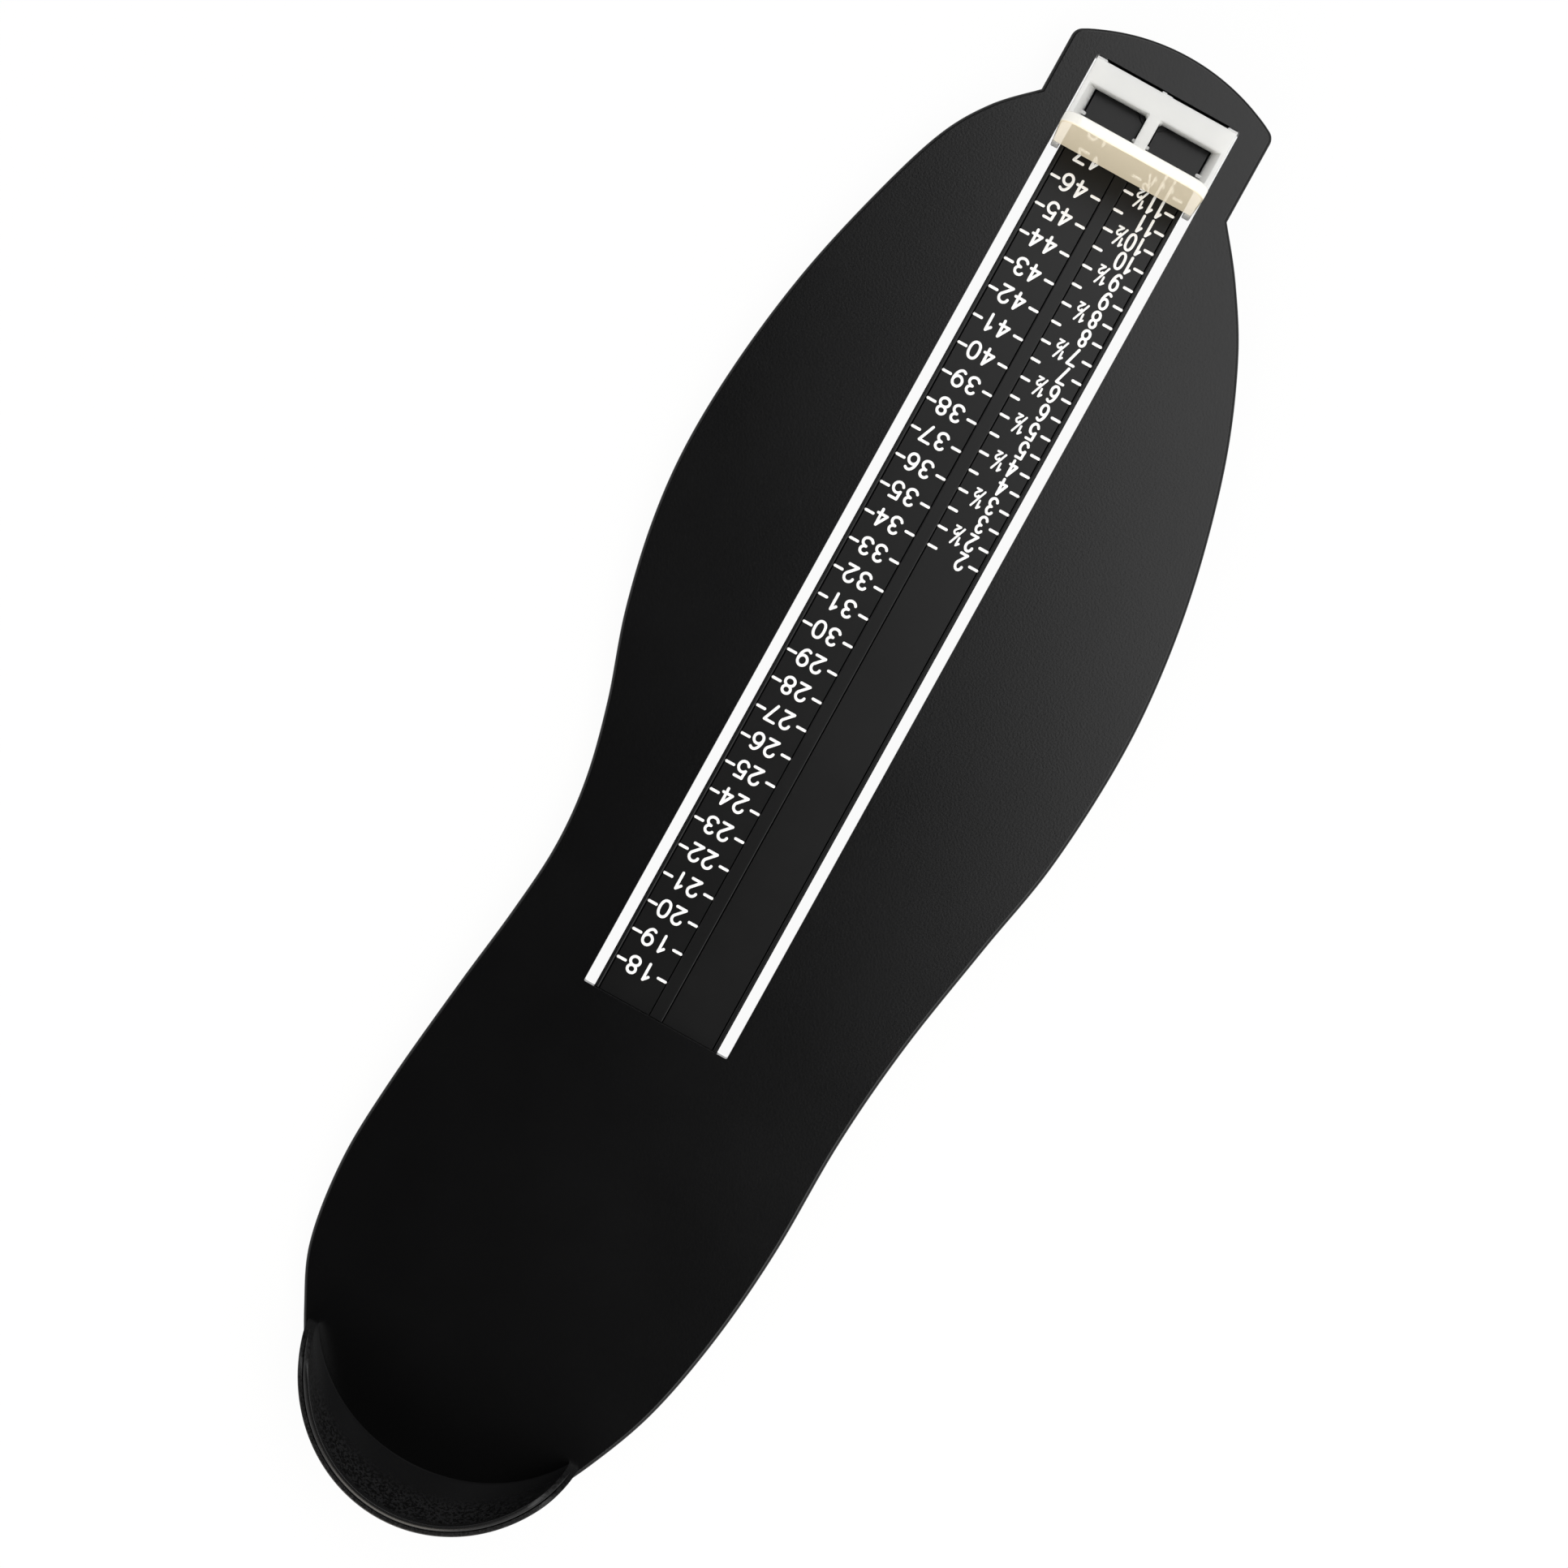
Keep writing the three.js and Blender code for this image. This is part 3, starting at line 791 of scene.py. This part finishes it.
# Strokes of the half beside a figure, in the same kind of box
halfStrokes = [
    [(0.24, 0.55), (0.24, 1)],
    [(0.24, 1), (0.02, 0.86)],
    [(0.16, 0.0), (0.84, 1)],
    arcPoints((0.77, 0.32), 0.2, 0.13, 170, -30, 8) + [(0.56, 0)],
    [(0.56, 0), (1, 0)],
]

# A bead's section from its left edge over the top, in half widths and heights
beadRidge = ((1, 0), (0.95, 0.6), (0.8, 0.93), (0, 1), (-0.8, 0.93), (-0.95, 0.6), (-1, 0))


# Places along a line with their directions and a share of the full width, which runs out at round ends
def beadStations(line, half):
    spots = [Vector(p) for p in line]
    closed = spots[0] == spots[-1]
    if closed:
        spots = spots[:-1]
    stations = []
    for i, spot in enumerate(spots):
        before = spots[i - 1] if closed or i > 0 else spot
        after = spots[(i + 1) % len(spots)] if closed or i < len(spots) - 1 else spot
        stations.append((spot, (after - before).normalized(), 1.0))
    if closed:
        return stations, True
    first, last = stations[0], stations[-1]
    caps = [(math.sin(math.radians(a)), math.cos(math.radians(a))) for a in figures["endAngles"]]
    start = [(first[0] - first[1] * half * out, first[1], size) for out, size in reversed(caps)]
    end = [(last[0] + last[1] * half * out, last[1], size) for out, size in caps]
    return start + stations + end, False


def bead(line, width, floor, height):
    half = width / 2
    stations, closed = beadStations(line, half)
    points = []
    for spot, along, size in stations:
        aside = Vector((-along.y, along.x)) * half * size
        for across, rise in beadRidge:
            points.append((spot.x + aside.x * across, spot.y + aside.y * across,
                           floor + height * size * rise))
        for across in (-1, 1):
            points.append((spot.x + aside.x * across, spot.y + aside.y * across, floor - figures["sunk"]))
    width = len(beadRidge) + 2
    rows = len(stations)
    faces = []
    for s in range(rows if closed else rows - 1):
        n = (s + 1) % rows
        for i in range(width):
            j = (i + 1) % width
            faces.append([s * width + i, n * width + i, n * width + j, s * width + j])
    if not closed:
        faces += [list(range(width)), [(rows - 1) * width + i for i in range(width)]]
    return points, faces


# Strokes placed round a centre and turned to be read from the toe
def placeStrokes(strokes, centreX, centreY, width, height, stroke):
    w, h = width - stroke, height - stroke
    placed = []
    for line in strokes:
        placed.append(([(centreX - (u - 0.5) * w, centreY - (v - 0.5) * h) for u, v in line], stroke))
    return placed


def tickLine(centreX, y):
    reach = (figures["tickLength"] - figures["tickStroke"]) / 2
    return [(centreX - reach, y), (centreX + reach, y)], figures["tickStroke"]


def leftColumn():
    lines = []
    for size in range(figures["leftFirst"], figures["leftLast"] + 1):
        y = size * sizeStep
        lines += [tickLine(x, y) for x in figures["leftTicks"]]
        for digit, x in zip(str(size), figures["leftDigits"]):
            lines += placeStrokes(digitStrokes[digit], x, y, figures["leftWidth"], figures["leftHeight"],
                                  figures["leftStroke"])
    return lines


def rightColumn():
    lines = []
    size = figures["rightFirst"]
    while size <= figures["rightLast"]:
        y = figures["rightAnchorY"] + (size - figures["rightAnchor"]) * figures["rightStep"]
        lines += [tickLine(x, y) for x in figures["rightTicks"]]
        text = str(int(size))
        for digit, x in zip(text, figures["rightPair"] if len(text) > 1 else (figures["rightDigit"],)):
            lines += placeStrokes(digitStrokes[digit], x, y, figures["rightWidth"], figures["rightHeight"],
                                  figures["rightStroke"])
        if size != int(size):
            centre = figures["halfCentre"] if len(text) > 1 else figures["halfAlone"]
            lines += placeStrokes(halfStrokes, centre, y, figures["halfWidth"],
                                  figures["halfHeight"], figures["halfStroke"])
        size += figures["rightEvery"]
    return lines


def makeFigures(material):
    floor = stripHigh.z - strip["fieldDepth"]
    lines = leftColumn() + rightColumn()
    points, faces = [], []
    for i, (line, stroke) in enumerate(lines):
        height = figures["height"] + i % figures["heights"] * figures["heightStep"]
        more, moreFaces = bead([(axisX + x, zeroY + y) for x, y in line], stroke, floor, height)
        faces += [[len(points) + corner for corner in face] for face in moreFaces]
        points += more
    piece = makeMesh("scaleFigures", points, faces, figures["sharpAngle"])
    print("figures made,", len(lines), "strokes")
    return dress(piece, material, "base")


# The slider's white frame

frameFinish = {
    "colour": (0.84, 0.838, 0.812),
    "darkest": 0.965,
    "cloudSize": 6,
    "roughness": 0.36,
    "roughnessRange": 0.08,
    "ior": 1.45,
    "grainSize": 0.5,
    "grainDepth": 0.004,
    "milk": 0.9,            # how much light goes through the plastic
    "milkDepth": 4,
}


def whiteFrameFinish():
    material, paint = newMaterial("whiteFrame")
    cloud = paint.noise(frameFinish["cloudSize"], detail=3)
    paint.plastic({
        "Base Color": paint.blend(cloud, rgba(frameFinish["colour"], frameFinish["darkest"]),
                                  rgba(frameFinish["colour"])),
        "Roughness": (cloud - 0.5) * frameFinish["roughnessRange"] + frameFinish["roughness"],
        "IOR": frameFinish["ior"],
        "Subsurface Weight": frameFinish["milk"],
        "Subsurface Radius": (1, 1, 1),
        "Subsurface Scale": frameFinish["milkDepth"] * mm,
        "Normal": paint.bump(paint.noise(frameFinish["grainSize"]), frameFinish["grainDepth"]),
    })
    return material


slider = {
    "crossbar": 3.8,
    "windowDepth": 7.5,
    "rearBar": 5.3,
    "webWidth": 2.8,
    "armFoot": 2.8,
    "armTop": 1.0,
    "windowFillet": 0.8,
    "windowRearFillet": 0.15,
    "windowRearLip": 0.4,
    "webLip": 0.15,
    "webGusset": 0.6,
    "gussetTop": 9.9,
    "under": 7.3,
    "topRadius": 0.3,
    "lowRadius": 0.15,
    "planRadius": 0.3,
    "root": 0.3,            # how far the parts of the frame reach into each other
    "footRise": 0.1,        # how far the small parts' feet lie inside the frame
    "legInner": 14.87,
    "legTop": 6.9,
    "legFoot": 2.4,
    "legEndRadius": 0.3,
    "legEdge": 0.15,
    "neckGap": 0.5,         # from the end of the neck to the end of the leg
    "legRearTop": 9.9,      # the legs' rear ends stand up behind the frame
    "legRearWidth": 2.3,
    "legRearDepth": 1.5,
    "legRearRadius": 0.2,
    "legRearEdges": (0.1, 0.25),
    "hookTop": 3.8,
    "hookLip": 0.7,
    "hookReach": 1.35,
    "hookLength": 14,
    "hookRoot": 0.6,
    "hookFootRise": 0.2,
    "lugRadius": 0.36,
    "lugCorner": 0.98,      # as a share of its radius, so that no two corners meet
    "lugRoot": 0.6,
    "armLugReach": 0.75,
    "webLugReach": 0.5,
    "lugTop": 8.4,
    "lugBack": 1.75,
    "lugEdges": (0.05, 0.25),
    "gussetEdges": (0.05, 0.15),
    "nibWidth": 2.5,
    "nibReach": 0.2,
    "nibRoot": 1,
    "peakWidth": 1.05,
    "peakReach": 0.38,
    "nibLow": 8.2,
    "nibTop": 10.2,
    "nibRadius": 0.15,
    "nibEdges": (0.2, 0.12),
    "tenonX": 7,
    "tenonWidth": 4,
    "tenonHeight": 1.4,
    "tenonLength": 2.4,
    "tenonGap": 0.1,
    "tenonRoot": 0.4,
}


# One window's outline, eased at the front and nearly sharp at the back
def windowPlan(webSide, armSide, front, rear):
    radius, small = slider["windowFillet"], slider["windowRearFillet"]
    points = arcPoints((armSide - radius, front + radius), radius, radius, -90, 0, steps=4)
    points += arcPoints((armSide - small, rear - small), small, small, 0, 90, steps=3)
    points += arcPoints((webSide + small, rear - small), small, small, 90, 180, steps=3)
    return points + arcPoints((webSide + radius, front + radius), radius, radius, 180, 270, steps=4)


def windowCutter(side, front, rear):
    half = sliderHigh.x - axisX
    web = slider["webWidth"] / 2
    under, top, lip = slider["under"], sliderHigh.z, slider["windowRearLip"]
    levels = [(under - past, 0), (under, 0)]
    levels += [(top - along, inward) for inward, along in roundingSteps(lip, steps=5)]
    levels.append((top + past, lip))
    rings = []
    for z, rearLip in levels:
        share = min(1, max(0, (z - under) / (top - under)))
        arm = half - slider["armFoot"] + (slider["armFoot"] - slider["armTop"]) * share
        plan = windowPlan(web - slider["webLip"] * rearLip / lip, arm, front, rear + rearLip)
        rings.append([(axisX + side * x, y, z) for x, y in plan])
    return ringSolid("window", rings)


# An outline on one side of the slider, kept anticlockwise
def onSide(plan, side):
    return [(axisX + side * x, y) for x, y in plan][::side]


def legBlock(side, front, rear):
    inner, outer = slider["legInner"], sliderHigh.x - axisX
    plan = onSide(roundedRectangle(inner, outer, front, rear, slider["legEndRadius"]), side)
    edge = slider["legEdge"]
    leg = ringSolid("leg", roundedRings(plan, slider["legFoot"], slider["legTop"], edge, edge, steps=3))
    x0, x1 = sorted((axisX + side * inner, axisX + side * outer))
    neckLow, neckTop = slider["legTop"] - slider["root"], slider["under"] + slider["root"]
    neckRear = rear - slider["neckGap"]
    neck = plainBlock("neck", x0, x1, stopLow.y + stop["thickness"], neckRear, neckLow, neckTop)
    top, foot = slider["hookTop"], slider["legFoot"] + slider["hookFootRise"]
    reach, root = inner - slider["hookReach"], inner + slider["hookRoot"]
    hook = [(root, top), (reach, top), (reach, top - slider["hookLip"]), (inner, foot), (root, foot)]
    middle = (front + rear) / 2
    ends = (middle - slider["hookLength"] / 2, middle + slider["hookLength"] / 2)
    barb = ringSolid("hook", [[(axisX + side * x, y, z) for x, z in hook] for y in ends])
    endFront, endInner = rear - slider["legRearDepth"], outer - slider["legRearWidth"]
    end = onSide(roundedRectangle(endInner, outer, endFront, rear, slider["legRearRadius"], steps=4), side)
    endRings = roundedRings(end, neckLow, slider["legRearTop"], *slider["legRearEdges"])
    upright = ringSolid("upright", endRings)
    return combine(leg, "UNION", [neck, barb, upright])


# The low three-cornered web between the middle bar and the rear bar
def gussetBlock(side, web, rear):
    reach, root = slider["webGusset"], slider["root"]
    plan = [(web - root, rear - reach - root), (web + reach + root, rear + root), (web - root, rear + root)]
    plan = onSide(plan, side)
    foot = slider["under"] + slider["footRise"]
    rings = roundedRings(plan, foot, slider["gussetTop"], *slider["gussetEdges"], steps=3)
    return ringSolid("gusset", rings)


# A small rounded lug that leans into a window's front corner
def lug(side, start, end, y):
    radius = slider["lugRadius"]
    x0, x1 = sorted((start, end))
    corner = radius * slider["lugCorner"]
    plan = onSide(roundedRectangle(x0, x1, y - radius, y + radius, corner), side)
    foot = slider["under"] + slider["footRise"]
    return ringSolid("lug", roundedRings(plan, foot, slider["lugTop"], *slider["lugEdges"]))


# A tenon of the toe stop, or its socket in the frame when it is grown by a gap
def tenonBlock(side, gap, face):
    middle = (slider["under"] + sliderHigh.z) / 2
    halfWidth = slider["tenonWidth"] / 2 + gap
    halfHeight = slider["tenonHeight"] / 2 + gap
    x = axisX + side * slider["tenonX"]
    front, back = face - slider["tenonRoot"], face + slider["tenonLength"] + gap
    return plainBlock("tenon", x - halfWidth, x + halfWidth, front, back, middle - halfHeight,
                      middle + halfHeight)


def makeSliderFrame(material):
    half = sliderHigh.x - axisX
    front = stopLow.y + stop["thickness"]
    windowFront = front + slider["crossbar"]
    windowRear = windowFront + slider["windowDepth"]
    frameRear = windowRear + slider["rearBar"]
    plan = roundedRectangle(axisX - half, axisX + half, front, frameRear, slider["planRadius"], steps=4)
    rings = roundedRings(plan, slider["under"], sliderHigh.z, slider["lowRadius"], slider["topRadius"])
    piece = ringSolid("sliderFrame", rings)
    web = slider["webWidth"] / 2
    arm = half - slider["armFoot"]
    for side in (-1, 1):
        combine(piece, "DIFFERENCE", [windowCutter(side, windowFront, windowRear)])
        combine(piece, "UNION", [legBlock(side, stopLow.y, sliderHigh.y)])
        y = windowFront + slider["lugBack"]
        combine(piece, "UNION", [
            lug(side, arm - slider["armLugReach"], arm + slider["lugRoot"], y),
            lug(side, web - slider["webLugReach"], web + slider["lugRoot"], y),
        ])
        combine(piece, "UNION", [gussetBlock(side, web, windowRear)])
        combine(piece, "DIFFERENCE", [tenonBlock(side, slider["tenonGap"], front)])
    nib, peak = slider["nibWidth"] / 2, slider["peakWidth"]
    for x0, x1, reach in ((-nib, nib, slider["nibReach"]), (-nib, peak - nib, slider["peakReach"])):
        nibFront = frameRear - slider["nibRoot"]
        nibPlan = roundedRectangle(axisX + x0, axisX + x1, nibFront, frameRear + reach,
                                   slider["nibRadius"], steps=4)
        nibRings = roundedRings(nibPlan, slider["nibLow"], slider["nibTop"], *slider["nibEdges"], steps=3)
        combine(piece, "UNION", [ringSolid("nib", nibRings)])
    finishShading(piece)
    print("slider frame made")
    return dress(piece, material, "slider", "slider_frame")


# The ivory toe stop

stopFinish = {
    "colour": (0.93, 0.918, 0.862),
    "shadedFaceColour": (0.93, 0.835, 0.645),
    "faceShadeFrom": 0.02,       # the face's painted warm shade fades out from here to its depth
    "faceShadeDepth": 0.35,
    "darkest": 0.97,
    "cloudSize": 8,
    "roughness": 0.07,
    "roughnessRange": 0.03,
    "ior": 1.45,
    "waveSize": 5,
    "waveDepth": 0.01,
}


def ivoryStopFinish():
    material, paint = newMaterial("ivoryStop")
    cloud = paint.noise(stopFinish["cloudSize"])
    edge = paint.blend(cloud, rgba(stopFinish["colour"], stopFinish["darkest"]), rgba(stopFinish["colour"]))
    # Painted warm shade: the face towards the heel is tan, the rest of the stop ivory
    pastFaceShade = paint.mask("Y", stopLow.y + stopFinish["faceShadeFrom"], stopLow.y + stopFinish["faceShadeDepth"])
    paint.plastic({
        "Base Color": paint.blend(pastFaceShade, rgba(stopFinish["shadedFaceColour"]), edge),
        "Roughness": (cloud - 0.5) * stopFinish["roughnessRange"] + stopFinish["roughness"],
        "IOR": stopFinish["ior"],
        "Normal": paint.bump(paint.noise(stopFinish["waveSize"], detail=1), stopFinish["waveDepth"]),
    })
    return material


stop = {"thickness": 2.4, "cornerRadius": 4, "edgeRadius": 0.4}


def makeToeStop(material):
    half = stopHigh.x - axisX
    radius = stop["cornerRadius"]
    top, low = stopHigh.z, stopLow.z
    outline = [(-half, low), (half, low)]
    outline += arcPoints((half - radius, top - radius), radius, radius, 0, 90, steps=14)
    outline += arcPoints((-half + radius, top - radius), radius, radius, 90, 180, steps=14)
    face = stopLow.y
    back = face + stop["thickness"]
    edge = roundingSteps(stop["edgeRadius"], steps=4)
    levels = [(face + along, inward) for inward, along in edge[::-1]]
    levels += [(back - along, inward) for inward, along in edge]
    rings = [[(axisX + x, y, z) for x, z in inset(outline, inward)] for y, inward in levels]
    piece = ringSolid("toeStop", rings)
    for side in (-1, 1):
        combine(piece, "UNION", [tenonBlock(side, 0, back)])
    finishShading(piece)
    print("toe stop made")
    return dress(piece, material, "slider", "toe_stop")


makeSolePlate(blackPlateFinish())
makeHeelCup(blackCupFinish())
makeScaleStrip(blackStripFinish())
makeFigures(whitePaintFinish())
makeSliderFrame(whiteFrameFinish())
makeToeStop(ivoryStopFinish())


# Floor, light and camera

studio = {
    "floorSize": 12,
    "floorGap": 0.01,
    "floorColour": 0.97,
    "floorGlow": 0.945,
    "wallLight": 0.81,      # the soft white walls round the table
    "ceilingLight": 0.03,
    "wallTop": 0.45,        # as the sine of the height angle
    "ceilingStart": 0.75,
    "sideRise": 0.6,        # how much higher the walls reach at the left and right
    "aheadShare": 0.05,     # how much of the light is left in the wall straight beyond the toes
    "aheadStart": 0.72,
    "aheadEnd": 0.97,
    "panelSize": (4.9, 1.4),
    "panelDistance": 2.5,
    "panelFromVertical": 22.5,
    "panelTurn": -50,
    "panelSpin": -7.6,
    "panelPower": 59,
    "fillSize": (1.0, 1.0),
    "fillDistance": 1.6,
    "fillFromVertical": 68,
    "fillTurn": 180,
    "fillPower": 12.9,
    "fillColour": (1.0, 0.93, 0.81),
}


# 1 where a surface is seen by the camera, in a reflection or through something clear
def seenBy(paint, names=("Is Camera Ray", "Is Glossy Ray", "Is Transmission Ray")):
    first, *others = [paint.node("ShaderNodeLightPath", out=name) for name in names]
    for other in others:
        first = first.orMore(other)
    return first


def makeFloor():
    half = studio["floorSize"] / 2 / mm
    outline = [(-half, -half), (half, -half), (half, half), (-half, half)]
    floor = makeMesh("floor", atHeight(outline, -studio["floorGap"]), [[0, 1, 2, 3]])
    material, paint = newMaterial("paleFloor")
    grey = studio["floorColour"]
    plain = paint.node("ShaderNodeBsdfDiffuse", None, {"Color": (grey, grey, grey, 1)})
    glow = paint.node("ShaderNodeEmission", None, {"Color": (1, 1, 1, 1), "Strength": 1.0})
    seen = seenBy(paint) * studio["floorGlow"]
    shader = paint.node("ShaderNodeMixShader", None, {0: seen, 1: plain, 2: glow})
    # clear from below, so that the underneath can be looked at
    below = paint.node("ShaderNodeNewGeometry", out="Backfacing")
    clear = paint.node("ShaderNodeBsdfTransparent", None, {"Color": (1, 1, 1, 1)})
    shader = paint.node("ShaderNodeMixShader", None, {0: below, 1: shader, 2: clear})
    paint.node("ShaderNodeOutputMaterial", None, {"Surface": shader})
    floor.data.materials.append(material)


# White walls that fade into a dark ceiling, higher at the sides and dim beyond the toes.
# The camera sees plain white past the table, and so do shiny surfaces, up to the ceiling.
def makeWorld():
    world = bpy.data.worlds.new("studio")
    bpy.context.scene.world = world
    world.use_nodes = True
    paint = Paint(world.node_tree)
    direction = paint.node("ShaderNodeTexCoord", out="Generated")
    across, along, up = [paint.node("ShaderNodeSeparateXYZ", None, {0: direction}, axis) for axis in "XYZ"]
    walls = paint.node("ShaderNodeMapRange", {"interpolation_type": "SMOOTHSTEP"}, {
        "Value": up - across * across * studio["sideRise"],
        "From Min": studio["ceilingStart"],
        "From Max": studio["wallTop"],
    })
    ahead = paint.node("ShaderNodeMapRange", {"interpolation_type": "SMOOTHSTEP"}, {
        "Value": along,
        "From Min": studio["aheadStart"],
        "From Max": studio["aheadEnd"],
        "To Min": 1.0,
        "To Max": studio["aheadShare"],
    })
    lit = walls * ahead
    dark, light, white = [paint.node("ShaderNodeBackground", None, {"Strength": level, "Color": (1, 1, 1, 1)})
                          for level in (studio["ceilingLight"], studio["wallLight"], 1.0)]
    room = paint.node("ShaderNodeMixShader", None, {0: lit, 1: dark, 2: light})
    shiny = seenBy(paint, ("Is Glossy Ray", "Is Transmission Ray")) * lit
    seen = seenBy(paint, ("Is Camera Ray",)).orMore(shiny)
    shader = paint.node("ShaderNodeMixShader", None, {0: seen, 1: room, 2: white})
    paint.node("ShaderNodeOutputWorld", None, {"Surface": shader})


def makePanel(name, size, distance, fromVertical, turn, spin, power, colour=(1, 1, 1)):
    lamp = bpy.data.lights.new(name, "AREA")
    lamp.shape = "RECTANGLE"
    lamp.size, lamp.size_y = size
    lamp.energy = power
    lamp.color = colour
    panel = bpy.data.objects.new(name, lamp)
    bpy.context.scene.collection.objects.link(panel)
    tilt, swing = math.radians(fromVertical), math.radians(turn)
    aim = Vector((-math.sin(tilt) * math.sin(swing), math.sin(tilt) * math.cos(swing), math.cos(tilt)))
    panel.location = aim * distance
    panel.rotation_euler = aim.to_track_quat("Z", "Y").to_euler()
    panel.rotation_euler.rotate_axis("Z", math.radians(spin))


# Straight above, at a width from the slots' centre line and a length from the scale's zero in millimetres
camera = {"width": -0.35, "length": 168.2, "height": 615, "turn": 29, "lens": 66.9, "sensor": 36}


def makeCamera():
    lens = bpy.data.cameras.new("camera")
    lens.lens = camera["lens"]
    lens.sensor_width = camera["sensor"]
    view = bpy.data.objects.new("camera", lens)
    view.location = Vector((axisX + camera["width"], zeroY + camera["length"], camera["height"])) * mm
    view.rotation_euler = (0, 0, math.radians(camera["turn"]))
    bpy.context.scene.collection.objects.link(view)
    bpy.context.scene.camera = view


makeFloor()
makeWorld()
makePanel("panel", studio["panelSize"], studio["panelDistance"], studio["panelFromVertical"],
          studio["panelTurn"], studio["panelSpin"], studio["panelPower"])
makePanel("fill", studio["fillSize"], studio["fillDistance"], studio["fillFromVertical"],
          studio["fillTurn"], 0, studio["fillPower"], studio["fillColour"])
makeCamera()
bpy.context.scene.view_settings.view_transform = "Standard"
print("studio made")
